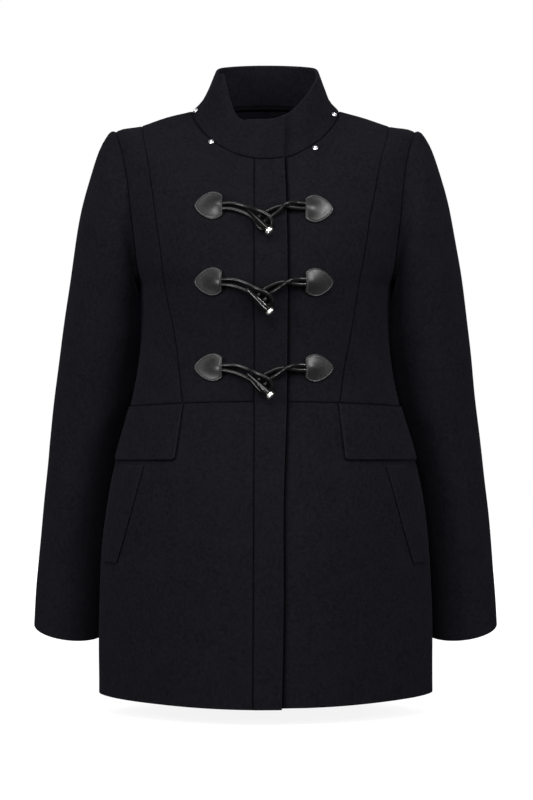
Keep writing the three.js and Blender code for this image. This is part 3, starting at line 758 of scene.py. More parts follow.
class Sketch:
    """A material's node tree while it is being drawn up."""

    def __init__(self, name: str) -> None:
        """Starts a material with nothing in it but its shader and its output.

        Args:
            name: the material's name.
        """
        self.material = bpy.data.materials.new(name)
        self.material.use_nodes = True
        self.tree = self.material.node_tree
        self.tree.nodes.clear()
        self.shader = self.node("ShaderNodeBsdfPrincipled")
        out = self.node("ShaderNodeOutputMaterial")
        self.link(self.shader.outputs["BSDF"], out.inputs["Surface"])
        self.place = self.node("ShaderNodeTexCoord").outputs["Object"]

    def node(self, kind: str, **settings: object) -> bpy.types.Node:
        """Adds a node with settings of its own.

        Args:
            kind: its type.
            settings: its properties, by name.

        Returns:
            The node.
        """
        made = self.tree.nodes.new(kind)
        for key, value in settings.items():
            setattr(made, key, value)
        return made

    def link(self, source: Socket, target: Socket) -> None:
        """Joins two sockets."""
        self.tree.links.new(source, target)

    def stretched(self, scale: Triple, turn: float = 0.0) -> Socket:
        """Object coordinates turned about the Y axis and drawn out.

        Args:
            scale: the scale along each axis.
            turn: the turn, in radians.

        Returns:
            The coordinates.
        """
        mapping = self.node("ShaderNodeMapping")
        mapping.inputs["Rotation"].default_value = (0, turn, 0)
        mapping.inputs["Scale"].default_value = scale
        self.link(self.place, mapping.inputs["Vector"])
        return mapping.outputs["Vector"]

    def noise(
        self, scale: float, detail: float = 2.0, rough: float = 0.5, at: Socket | None = None
    ) -> Socket:
        """A noise of so many swings a metre.

        Args:
            scale: swings a metre.
            detail: how many finer noises lie over it.
            rough: how strong those are.
            at: the coordinates it is read by, or None for plain object coordinates.

        Returns:
            The noise's value, from 0 to 1.
        """
        made = self.node("ShaderNodeTexNoise")
        made.inputs["Scale"].default_value = scale
        made.inputs["Detail"].default_value = detail
        made.inputs["Roughness"].default_value = rough
        self.link(at or self.place, made.inputs["Vector"])
        return made.outputs["Fac"]

    def map_values(self, name: str) -> tuple[Socket, Socket]:
        """The two values of a map on the mesh.

        Args:
            name: the map's name.

        Returns:
            Both values.
        """
        marks = self.node("ShaderNodeUVMap", uv_map=name)
        apart = self.node("ShaderNodeSeparateXYZ")
        self.link(marks.outputs["UV"], apart.inputs["Vector"])
        return apart.outputs["X"], apart.outputs["Y"]

    def cells(self, scale: float) -> Socket:
        """The distance to the nearest of many scattered points.

        Args:
            scale: points a metre.

        Returns:
            The distance.
        """
        made = self.node("ShaderNodeTexVoronoi")
        made.inputs["Scale"].default_value = scale
        self.link(self.place, made.inputs["Vector"])
        return made.outputs["Distance"]

    def ranged(
        self, value: Socket, source: Pair, target: Pair
    ) -> Socket:
        """A value moved from one range to another, and held inside it.

        Args:
            value: the value.
            source: the range that it is read in.
            target: the range that it is moved to.

        Returns:
            The moved value.
        """
        made = self.node("ShaderNodeMapRange")
        for key, number in zip(("From Min", "From Max", "To Min", "To Max"), source + target):
            made.inputs[key].default_value = number
        self.link(value, made.inputs["Value"])
        return made.outputs["Result"]

    def mixed(self, share: Socket, low: Tint, high: Tint) -> Socket:
        """A colour between two, by a value from 0 to 1.

        Args:
            share: the value.
            low: the colour at 0.
            high: the colour at 1.

        Returns:
            The colour.
        """
        made = self.node("ShaderNodeMix", data_type="RGBA")
        colours = [s for s in made.inputs if s.type == "RGBA"]
        for socket, colour in zip(colours, (low, high)):
            if isinstance(colour, Socket):
                self.link(colour, socket)
            else:
                socket.default_value = (*colour, 1)
        self.link(share, made.inputs["Factor"])
        return next(s for s in made.outputs if s.type == "RGBA")

    def bumps(self, layers: Sequence[tuple[Socket, float, float]]) -> None:
        """Presses layers of height into the surface.

        Args:
            layers: for each, its value, its strength and its height in metres.
        """
        before = None
        for value, strength, height in layers:
            bump = self.node("ShaderNodeBump")
            bump.inputs["Strength"].default_value = strength
            bump.inputs["Distance"].default_value = height
            self.link(value, bump.inputs["Height"])
            if before:
                self.link(before, bump.inputs["Normal"])
            before = bump.outputs["Normal"]
        self.link(before, self.shader.inputs["Normal"])

    def set(self, **values: object) -> None:
        """Sets the shader's own sockets; an underscore stands for a space."""
        for key, value in values.items():
            self.shader.inputs[key.replace("_", " ")].default_value = value

    def feed(self, **sources: Socket) -> None:
        """Links values to the shader's sockets; an underscore stands for a space."""
        for key, source in sources.items():
            self.link(source, self.shader.inputs[key.replace("_", " ")])


def scaled(colour: Colour, times: float) -> Colour:
    """A colour so many times as light."""
    return tuple(times * c for c in colour)


@dataclass(frozen=True)
class Finish:
    """What a piece is made of.

    Attributes:
        name: the material's name.
        slot: the record's slot that it belongs to; not used.
    """

    name: str
    slot: str

    def material(self) -> Material:
        """The finish's material, drawn up once."""
        found = bpy.data.materials.get(self.name)
        return found or self.drawn()

    def drawn(self) -> Material:
        """Draws up the material."""
        raise NotImplementedError


@dataclass(frozen=True)
class Melton(Finish):
    """Milled wool cloth with a short dense nap.

    Attributes:
        deep: colour between the fibres.
        raised: colour of the nap where it catches light.
        sheen: strength of the nap's rim light.
    """

    deep: Colour = (0.0012, 0.0011, 0.00145)
    raised: Colour = (0.0052, 0.0049, 0.0063)
    sheen: float = 0.01

    def drawn(self) -> Material:
        """Mottled nap over fine fibres that lie mostly up and down, with painted shade at seams and a painted
        highlight along free edges.

        Returns:
            The material.
        """
        sketch = Sketch(self.name)
        nap = sketch.noise(240, 4, 0.6)
        cloud = sketch.noise(34, 3, 0.55)
        fibre = sketch.noise(1500, 3, 0.65, sketch.stretched((1.0, 1.0, 0.42)))
        lint = sketch.noise(820, 1, 0.5)
        share = sketch.ranged(nap, (0.28, 0.72), (0.1, 0.9))
        tone = sketch.mixed(share, self.deep, self.raised)
        worn = sketch.mixed(sketch.ranged(cloud, (0.35, 0.7), (0.0, 0.35)), tone, self.raised)
        strand = sketch.ranged(fibre, (0.3, 0.75), (0.0, 0.5))
        hairy = sketch.mixed(strand, worn, scaled(self.raised, 1.25))
        speck = sketch.mixed(sketch.ranged(lint, (0.76, 0.84), (0.0, 0.5)), hairy, (0.03, 0.029, 0.032))
        # Painted shade: the wool is darkened near seams and beside the band's free edge, where shade falls.
        sewn, free = sketch.map_values("edges")
        seam_shade_share = sketch.ranged(sewn, (0.03, 0.3), (0.0, 1.0))
        seam_shaded_colour = sketch.mixed(seam_shade_share, scaled(self.deep, 0.4), speck)
        # Painted highlight: the wool is lightened along free edges, where the nap catches light.
        edge_highlight_share = sketch.ranged(free, (0.02, 0.2), (0.45, 0.0))
        edge_highlit_colour = sketch.mixed(edge_highlight_share, seam_shaded_colour, scaled(self.raised, 1.5))
        sketch.feed(Base_Color=edge_highlit_colour, Roughness=sketch.ranged(fibre, (0.2, 0.8), (0.88, 1.0)))
        sketch.set(
            Specular_IOR_Level=0.0,
            Sheen_Weight=self.sheen,
            Sheen_Roughness=0.45,
            Sheen_Tint=(0.72, 0.74, 1.0, 1.0),
        )
        sketch.bumps([(cloud, 0.25, 0.0012), (nap, 0.4, 0.0005), (fibre, 0.5, 0.00022)])
        return sketch.material


@dataclass(frozen=True)
class Leather(Finish):
    """Smooth dyed leather with a fine grain and a waxed shine.

    Attributes:
        colour: the dye.
        edge: the colour where it is rubbed.
        shine: the strength of its gloss.
        rough: how much the gloss is spread.
        grain: cells of grain a metre.
    """

    colour: Colour = (0.006, 0.006, 0.0064)
    edge: Colour = (0.0095, 0.0094, 0.0094)
    shine: float = 0.2
    rough: float = 0.38
    grain: float = 1150

    def drawn(self) -> Material:
        """Grain cells, a soft cloudiness and pores.

        Returns:
            The material.
        """
        sketch = Sketch(self.name)
        cells = sketch.cells(self.grain)
        cloud = sketch.noise(170, 3, 0.6)
        pores = sketch.noise(2400, 2, 0.5)
        tone = sketch.mixed(sketch.ranged(cloud, (0.25, 0.75), (0.0, 1.0)), self.colour, self.edge)
        between = sketch.ranged(cells, (0.5, 0.9), (0.0, 0.6))
        dark = sketch.mixed(between, tone, scaled(self.colour, 0.5))
        rough = sketch.ranged(cloud, (0.3, 0.7), (self.rough - 0.04, self.rough + 0.06))
        sketch.feed(Base_Color=dark, Roughness=rough)
        sketch.set(Specular_IOR_Level=self.shine)
        sketch.bumps([(cloud, 0.2, 0.0004), (cells, -0.2, 0.00007), (pores, 0.15, 0.00003)])
        return sketch.material


@dataclass(frozen=True)
class Horn(Finish):
    """Polished black horn, faintly streaked along its length.

    Attributes:
        dark: the body colour.
        streak: the colour of the paler layers.
        shine: the strength of its gloss.
    """

    dark: Colour = (0.0016, 0.0015, 0.0016)
    streak: Colour = (0.006, 0.0055, 0.005)
    shine: float = 0.16

    def drawn(self) -> Material:
        """Layers that run the long way of a toggle.

        Returns:
            The material.
        """
        sketch = Sketch(self.name)
        layers = sketch.noise(620, 3, 0.6, sketch.stretched((1.0, 1.0, 0.12), -math.radians(45)))
        scratch = sketch.noise(1900, 2, 0.5)
        tone = sketch.mixed(sketch.ranged(layers, (0.45, 0.75), (0.0, 1.0)), self.dark, self.streak)
        sketch.feed(Base_Color=tone, Roughness=sketch.ranged(scratch, (0.3, 0.7), (0.07, 0.12)))
        sketch.set(Specular_IOR_Level=self.shine)
        sketch.bumps([(layers, 0.06, 0.0001), (scratch, 0.05, 0.00002)])
        return sketch.material


@dataclass(frozen=True)
class Metal(Finish):
    """Plated metal.

    Attributes:
        colour: its reflection.
        dull: the colour where the plating has lost its shine.
        rough: how much its shine is spread.
    """

    colour: Colour = (0.86, 0.84, 0.8)
    dull: Colour = (0.55, 0.54, 0.52)
    rough: float = 0.2

    def drawn(self) -> Material:
        """Fine scratches and dull spots.

        Returns:
            The material.
        """
        sketch = Sketch(self.name)
        spots = sketch.noise(900, 3, 0.6)
        scratches = sketch.noise(3200, 2, 0.5, sketch.stretched((1.0, 1.0, 0.2)))
        tone = sketch.mixed(sketch.ranged(spots, (0.52, 0.75), (0.0, 0.8)), self.colour, self.dull)
        rough = sketch.ranged(scratches, (0.3, 0.7), (self.rough - 0.08, self.rough + 0.12))
        sketch.feed(Base_Color=tone, Roughness=rough)
        sketch.set(Metallic=1.0)
        sketch.bumps([(scratches, 0.15, 0.00003)])
        return sketch.material


@dataclass(frozen=True)
class Thread(Finish):
    """Waxed sewing thread, twisted.

    Attributes:
        colour: the dye.
    """

    colour: Colour = (0.02, 0.02, 0.021)

    def drawn(self) -> Material:
        """The twist shows as fine slanted ribs.

        Returns:
            The material.
        """
        sketch = Sketch(self.name)
        twist = sketch.noise(3000, 2, 0.6, sketch.stretched((1.0, 1.0, 2.5)))
        ribs = sketch.ranged(twist, (0.3, 0.7), (0.0, 1.0))
        tone = sketch.mixed(ribs, self.colour, scaled(self.colour, 2.2))
        sketch.feed(Base_Color=tone, Roughness=sketch.ranged(twist, (0.3, 0.7), (0.45, 0.65)))
        sketch.bumps([(twist, 0.3, 0.00008)])
        return sketch.material


WOOL = Melton("melton_wool", "wool")
PATCH_LEATHER = Leather("patch_hide", "patch_leather")
CORD_LEATHER = Leather(
    "cord_hide", "cord_leather",
    colour=(0.002, 0.002, 0.002), edge=(0.005, 0.005, 0.005), shine=0.14, rough=0.3,
)
HORN = Horn("black_horn", "horn")
CAP_METAL = Metal("polished_cap", "cap_metal")
STUD_METAL = Metal("polished_stud", "stud_metal", colour=(0.5, 0.5, 0.52), dull=(0.3, 0.3, 0.31), rough=0.34)
THREAD = Thread("waxed_thread", "patch_leather")


@dataclass
class Panel:
    """A cut and sewn piece of cloth on a ring surface.

    Attributes:
        node: the frame's node that it stands for.
        surface: the surface that it lies on.
        foot: distance up of its lower edge.
        top: distance up of its upper edge.
        start: the angle of its first edge at each distance up.
        end: the angle of its other edge.
        edges: how the first, other, lower and upper edges end.
        rests_on: the pieces or nodes that it hangs from; not used.
        outer: lift of its outer face, by angle and distance up.
        thick: thickness of the cloth, by the same.
        more_rows: further distances up at which the grid has a row.
        beside: distance from another piece's edge that lies on this one, which lays a painted shadow of that
            edge on the wool.
        tuck: further rows of its outer and inner faces below its foot, by angle.
    """

    node: str
    surface: RingSurface
    foot: float
    top: float
    start: AngleAt
    end: AngleAt
    edges: tuple[Edge, Edge, Edge, Edge]
    rests_on: tuple[str, ...]
    outer: LiftAt = lambda angle, at: 0.0
    thick: LiftAt = lambda angle, at: CLOTH
    more_rows: tuple[float, ...] = ()
    beside: LiftAt = lambda angle, at: np.full(angle.shape, FAR)
    tuck: Callable[[Array], tuple[Array, Array]] | None = None

    def rows(self) -> Array:
        """Distances up of the grid's rows.

        Returns:
            The distances, in rising order.
        """
        made = self.foot + spread(self.top - self.foot, STEP)
        extra = [v for v in self.more_rows if np.abs(made - v).min() > 0.12]
        return np.sort(np.concatenate([made, extra]))

    def shares(self, width: Array) -> Array:
        """Places across each row, close together at both of its edges.

        Args:
            width: each row's width.

        Returns:
            For each row, the shares of its width at which the places lie.
        """
        widest = width.max()
        steps = spread(float(widest), STEP)
        lines = len(EDGE_LINES)
        last = steps[lines - 1]
        near = np.minimum(steps[:lines] / width[:, None], steps[:lines] / last * EDGE_SHARE)
        inside = (steps[lines:-lines] - last) / (widest - 2 * last)
        reach = near[:, -1:]
        between = reach + inside * (1 - 2 * reach)
        return np.concatenate([near, between, 1 - near[:, ::-1]], axis=1)

    def faces(self, angle: Array, at: Array, gaps: Sequence[Array]) -> tuple[Array, Array]:
        """Points of both faces, which turn in towards the edges.

        Args:
            angle: the points' angles.
            at: their distances up.
            gaps: their distances from each of the four edges.

        Returns:
            The outer face's points, and the inner face's.
        """
        turn_out = np.max([edge.outer(gap) for edge, gap in zip(self.edges, gaps)], axis=0)
        turn_in = np.max([edge.inner(gap) for edge, gap in zip(self.edges, gaps)], axis=0)
        face = self.outer(angle, at)
        back = face - self.thick(angle, at)
        outer = self.surface.lifted(angle, at, face - turn_out)
        return outer, self.surface.lifted(angle, at, back + turn_in)

    def nearness(self, angle: Array, at: Array, gaps: Sequence[Array]) -> Array:
        """Distances of each point from a sewn edge and from a free one, by which the wool's colour gets
        painted shade and a painted highlight.

        Args:
            angle: the points' angles.
            at: their distances up.
            gaps: their distances from each of the four edges.

        Returns:
            Both distances, side by side.
        """
        ends = list(zip(self.edges, gaps))
        # Seams and the edge of a piece lying on this one steer painted shade; free edges steer a painted
        # highlight.
        sewn = [gap + LIGHTLY for edge, gap in ends if edge.is_sewn()] + [self.beside(angle, at)]
        free = [gap for edge, gap in ends if edge.is_free()] + [np.full(angle.shape, FAR)]
        return np.stack([np.min(sewn, axis=0), np.min(free, axis=0)], axis=-1)

    def build(self) -> bpy.types.Object:
        """Returns:
            The piece.
        """
        rows = self.rows()
        start, end = self.start(rows), self.end(rows)
        middle = (start + end) / 2
        width = np.maximum(self.surface.reach(middle, rows) * np.abs(end - start), 1e-6)
        share = self.shares(width)
        angle = start[:, None] + share * (end - start)[:, None]
        at = np.broadcast_to(rows[:, None], angle.shape)
        across = share * width[:, None]
        gaps = (across, width[:, None] - across, at - self.foot, self.top - at)
        outer, inner = self.faces(angle, at, gaps)
        away = self.nearness(angle, at, gaps)
        if self.tuck:
            outer, inner = (np.concatenate(pair) for pair in zip(self.tuck(angle[0]), (outer, inner)))
            away = np.pad(away, ((len(outer) - len(away), 0), (0, 0), (0, 0)), constant_values=FAR)
        mesh = wall_mesh(self.node + "_cloth", outer, inner, away)
        return declare_sheet(mesh, self.node)


def declare_sheet(mesh: Mesh, node: str) -> bpy.types.Object:
    """Args:
        mesh: the piece's mesh.
        node: the frame's node that it stands for.

    Returns:
        The piece.
    """
    piece = dress(mesh, node + "_cloth", [node], WOOL)
    return piece


class Face(Enum):
    """Which side of the coat a fold is pressed into."""

    FRONT = "front"
    BACK = "back"


# Heights down the back, and how far up the cloth they lie.
BACK_HEIGHTS = (-757, -382, -180, -66, 0)
BACK_UP = (0, 377, 578, 727, 800)


@dataclass(frozen=True)
class Crease:
    """A fold of the body's cloth, given as it is seen straight on.

    Attributes:
        face: the side that it lies on.
        start: its upper end, across and up.
        end: its lower end, across and up.
        width: how far it reaches to each side.
        depth: its height, below zero for a trough.
    """

    face: Face
    start: Pair
    end: Pair
    width: float
    depth: float

    def on(self, body: Body) -> Fold:
        """The same fold in space, on the body's surface.

        Args:
            body: the surface.

        Returns:
            The fold.
        """
        ends = []
        for x, z in (self.start, self.end):
            if self.face is Face.FRONT:
                ends.append(tuple(body.front_point(x, z, 0.0).tolist()))
            else:
                at = np.interp(z, BACK_HEIGHTS, BACK_UP)
                angle = math.pi - body.angle_across(x, at)
                ends.append(tuple(body.point(angle, at).tolist()))
        return Fold(ends[0], ends[1], self.width, self.depth)


FRONT_CREASES = (
    ((-151, -214), (-131, -276), 7, -1.3),
    ((-141, -208), (-121, -262), 8, 0.8),
    ((-157, -262), (-137, -322), 8, -1.0),
    ((-155, -300), (-128, -356), 10, 0.8),
    ((147, -220), (139, -292), 7, -1.4),
    ((136, -214), (124, -268), 8, 0.8),
    ((154, -268), (146, -330), 8, -1.0),
    ((152, -310), (126, -362), 10, 0.8),
    ((-88, -300), (-62, -362), 16, -0.7),
    ((84, -296), (58, -366), 16, -0.7),
    ((-168, -92), (-120, -150), 20, -0.9),
    ((168, -96), (124, -152), 20, -0.9),
    ((-60, -560), (-66, -752), 26, 1.1),
    ((-118, -520), (-132, -752), 28, -1.2),
    ((72, -540), (80, -752), 26, 1.0),
    ((128, -520), (140, -752), 26, -1.2),
    ((182, -600), (190, -750), 18, 1.0),
    ((-184, -610), (-192, -750), 18, 1.0),
)
BACK_CREASES = (
    ((-120, -250), (-60, -352), 16, -1.3),
    ((-138, -300), (-92, -372), 14, 1.0),
    ((118, -246), (66, -348), 16, -1.2),
    ((140, -306), (96, -374), 14, 1.0),
    ((-20, -330), (24, -362), 12, -1.0),
    ((-96, -470), (-118, -752), 30, 1.4),
    ((-40, -520), (-46, -752), 26, -1.3),
    ((44, -500), (52, -752), 26, 1.2),
    ((112, -480), (128, -752), 30, -1.4),
    ((-150, -100), (-112, -190), 20, -1.1),
    ((150, -104), (110, -186), 20, -1.1),
)

# Steps away from a corner, and down from the end of a princess seam, at which grids have rows.
NEAR_CORNER = (0, 0.3, 1, 2.2, 4.2)
NEAR_TIP = (10, 7, 4.4, 2.9, 1.5, 0.7, 0)


def armpit_fold(side: int) -> Fold:
    """The soft ridge down the side seam from an armhole."""
    return Fold((163.5 * side, 0, -212), (162 * side, 0, -268), 15, 1.5)


@dataclass
class CoatBody:
    """The cut pieces round the wearer's body, from the hem to the neck seam.

    Attributes:
        surface: the surface that they lie on.
        band_outer: lift of the front band's outer face.
        band_inner: lift of its inner face.
        sink: how deep the left front runs under the band.
        sink_from: distance across at which it lies deepest.
        sink_to: distance across at which it has come up again.
        underlap: distance across of its hidden edge.
        underlap_thick: thickness of its edge under the band.
        shade: how sharply the band's shade on it ends.
    """

    surface: Body
    band_outer: float = 0.8
    band_inner: float = -2.2
    sink: float = -3.1
    sink_from: float = 31
    sink_to: float = 52
    underlap: float = -11
    underlap_thick: float = 2.1
    shade: float = 0.55

    def band_seam(self, at: Array) -> Array:
        """Angles of the seam between the right front and the band."""
        return self.surface.angle_across(BAND.read(at)["seam"], at)

    def band_edge(self, at: Array) -> Array:
        """Angles of the band's free edge."""
        return self.surface.angle_across(BAND.read(at)["edge"], at)

    def princess(self, side: int, at: Array) -> Array:
        """Angles of a side's princess seam, as on the wearer's left."""
        row = PRINCESS.read(at)["left" if side > 0 else "right"]
        return np.where(at >= PRINCESS_END, QUARTER, self.surface.angle_across(row, at))

    def underlap_lift(self, angle: Array, at: Array) -> Array:
        """Lift of the left front, which sinks beside the band and runs on under it."""
        x = self.surface.point(angle, at)[..., 0]
        return self.sink * (1 - smooth(x, self.sink_from, self.sink_to))

    def beside_band(self, angle: Array, at: Array) -> Array:
        """How far the left front's cloth lies beyond the band's free edge, which shades it."""
        return (self.surface.point(angle, at)[..., 0] - BAND.read(at)["edge"]) * self.shade

    def underlap_cloth(self, angle: Array, at: Array) -> Array:
        """Thickness of the left front, pressed thinner under the band."""
        share = self.underlap_lift(angle, at) / self.sink
        return CLOTH + share * (self.underlap_thick - CLOTH)

    def edge(self, side: int, is_front: bool, gap: float) -> AngleAt:
        """The edge that a chest piece has at the side seam, the armhole and the shoulder seam.

        Args:
            side: 1 for the wearer's left, -1 for the right.
            is_front: whether the piece lies in front of the armhole.
            gap: how far the edge is moved off the seam's middle line.

        Returns:
            The edge's angles, by distance up.
        """

        def angles(at: Array) -> Array:
            """Angles of the edge at distances up.

            Args:
                at: the distances up.

            Returns:
                An angle for each.
            """
            inside = (at > self.surface.armpit) & (at < self.surface.shoulder)
            seam = self.surface.nudged(np.full(at.shape, QUARTER), at, gap)
            return side * np.where(inside, self.surface.armhole_angle(at, is_front), seam)

        return angles

    def seam(self, side: int, line: AngleAt, gap: float) -> AngleAt:
        """A seam's edge, moved off the seam's middle line by a gap."""
        return lambda at: side * self.surface.nudged(line(at), at, gap)

    def build_side(self, name: str, side: int) -> None:
        """Makes the five pieces of one side.

        Args:
            name: the side's name.
            side: 1 for the wearer's left, -1 for the right.
        """
        gap = SEAM_GAP / 2
        body, is_left = self.surface, side > 0
        seam, free, hidden = Edge.SEAM, Edge.FREE, Edge.HIDDEN
        princess = lambda at: self.princess(side, at)
        quarter = lambda at: np.full(at.shape, QUARTER)
        half = lambda at: np.full(at.shape, math.pi)
        if is_left:
            front_edge: AngleAt = lambda at: body.angle_across(self.underlap, at)
            first = hidden
            laps = {"outer": self.underlap_lift, "thick": self.underlap_cloth, "beside": self.beside_band}
        else:
            front_edge = lambda at: body.nudged(self.band_seam(at), at, -gap)
            first, laps = seam, {}
        ends = [place + step for place in (body.armpit, body.shoulder) for step in NEAR_CORNER]
        ends += [body.shoulder - step for step in NEAR_CORNER[1:]]
        point = [PRINCESS_END - step for step in NEAR_TIP]
        side_seam = self.seam(side, quarter, -gap)
        back_seam = self.seam(side, quarter, gap)
        mid_back = self.seam(side, half, -gap)
        low, high = WAIST - gap, WAIST + gap
        hang = f"{name}_back"
        panels = (
            Panel(f"{name}_front", body, high, NECK - gap, front_edge, self.seam(side, princess, -gap),
                  (first, seam, seam, seam), (hang, f"{name}_side_front"), more_rows=tuple(point), **laps),
            Panel(f"{name}_side_front", body, high, PRINCESS_END - PRINCESS_TIP,
                  self.seam(side, princess, gap), self.edge(side, True, -gap), (seam,) * 4,
                  (f"{name}_front", hang), more_rows=tuple(ends + point)),
            Panel(f"{name}_front_skirt", body, LEFT_HEM if is_left else 0.0, low, front_edge, side_seam,
                  (first, seam, free, seam), (f"{name}_front", f"{name}_side_front"), **laps),
            Panel(f"{name}_back", body, high, NECK - gap, mid_back, self.edge(side, False, gap),
                  (seam,) * 4, (f"{name}_front", "collar"), more_rows=tuple(ends)),
            Panel(f"{name}_back_skirt", body, 0.0, low, mid_back, back_seam,
                  (seam, seam, free, seam), (hang,)),
        )
        for panel in panels:
            panel.build()

    def build(self) -> None:
        """Makes both sides and the band down the front."""
        self.build_side("right", -1)
        self.build_side("left", 1)
        Panel(
            "front_band", self.surface, 0.0, NECK - COLLAR_GAP,
            lambda at: self.surface.nudged(self.band_seam(at), at, SEAM_GAP / 2), self.band_edge,
            (Edge.SEAM, Edge.FREE, Edge.FREE, Edge.SEAM), ("right_front", "right_front_skirt"),
            outer=lambda angle, at: np.full(angle.shape, self.band_outer),
            thick=lambda angle, at: self.band_outer - self.band_inner,
        ).build()


@dataclass
class FunnelCollar:
    """The stand-up collar, once round the neck, with its right end on top.

    Attributes:
        surface: the surface that it lies on.
        body: the surface below the neck seam.
        over: distance across of its right end, which lies on top.
        under: distance across of its left end, underneath.
        lift: how far the right end stands out.
        rise: distances across between which it comes to stand out.
        sink: how deep the left end lies.
        fall: distances across between which it has come up again.
        allowance_rows: distances down from the neck seam of the rows of its seam allowance.
        allowance_gap: how far that lies inside the body's cloth.
        allowance_thick: its thickness.
        lapped: distances from the middle up to which it lies behind the lapped fronts.
        lapped_depth: how much deeper it lies there.
    """

    surface: RingSurface
    body: Body
    over: float = 24
    under: float = -16
    lift: float = 1.6
    rise: Pair = (-46, -14)
    sink: float = -3.8
    fall: Pair = (30, 56)
    allowance_rows: tuple[float, ...] = (6.0, 3.0, 0.4)
    allowance_gap: float = 0.2
    allowance_thick: float = 1.1
    lapped: Pair = (34, 54)
    lapped_depth: float = 3.4

    def across(self, x: float, up: Array) -> Array:
        """Angles at which the collar is a given distance across."""
        return np.arcsin(x / COLLAR.read(up)["half"])

    def face(self, angle: Array, up: Array) -> Array:
        """Lift of its outer face.

        Args:
            angle: the angles round.
            up: the distances up.

        Returns:
            A lift for each place.
        """
        x = self.surface.point(angle, up)[..., 0]
        rise = self.lift * smooth(x, *self.rise)
        fall = self.sink * (1 - smooth(x, *self.fall))
        return np.where(angle > -QUARTER, rise, np.where(angle < -3 * QUARTER, fall, 0.0))

    def allowance(self, angle: Array) -> tuple[Array, Array]:
        """Rows of the seam allowance, which runs on down inside the neck edge.

        Args:
            angle: the angles of the collar's foot.

        Returns:
            The points of its outer face, and of its inner face.
        """
        x = self.body.point(angle, np.array(NECK))[..., 0]
        lapped = np.where(np.cos(angle) > 0, 1 - smooth(np.abs(x), *self.lapped), 0.0)
        at = NECK - np.array(self.allowance_rows)[:, None]
        face = -CLOTH - self.allowance_gap - self.lapped_depth * lapped
        inner = self.body.lifted(angle, at, face - self.allowance_thick)
        return self.body.lifted(angle, at, face), inner

    def build(self) -> None:
        """Makes the collar."""
        Panel(
            "collar", self.surface, COLLAR_GAP, COLLAR_TOP,
            lambda up: self.across(self.over, up),
            lambda up: -2 * math.pi + self.across(self.under, up),
            (Edge.COLLAR_EDGE, Edge.COLLAR_EDGE, Edge.SEAM, Edge.COLLAR_EDGE),
            ("right_front", "left_front", "right_back", "left_back"),
            outer=self.face, thick=lambda angle, at: COLLAR_THICK, tuck=self.allowance,
        ).build()


@dataclass(frozen=True)
class SleeveFold:
    """A fold of a sleeve's cloth.

    Attributes:
        start: its one end: degrees round from the sleeve's outer side, and distance down.
        end: its other end.
        width: how far it reaches to each side.
        depth: its height, below zero for a trough.
    """

    start: Pair
    end: Pair
    width: float
    depth: float

    def on(self, points: Array, turn: Array, down: Array) -> Fold:
        """The same fold in space, on a sleeve's points.

        Args:
            points: the sleeve's points, rows by points round.
            turn: each column's turn, in radians.
            down: each row's distance down.

        Returns:
            The fold.
        """
        ends = []
        for degrees, place in (self.start, self.end):
            row = int(np.abs(down - place).argmin())
            column = int(np.abs(turn - math.radians(degrees)).argmin())
            ends.append(tuple(points[row, column].tolist()))
        return Fold(ends[0], ends[1], self.width, self.depth)


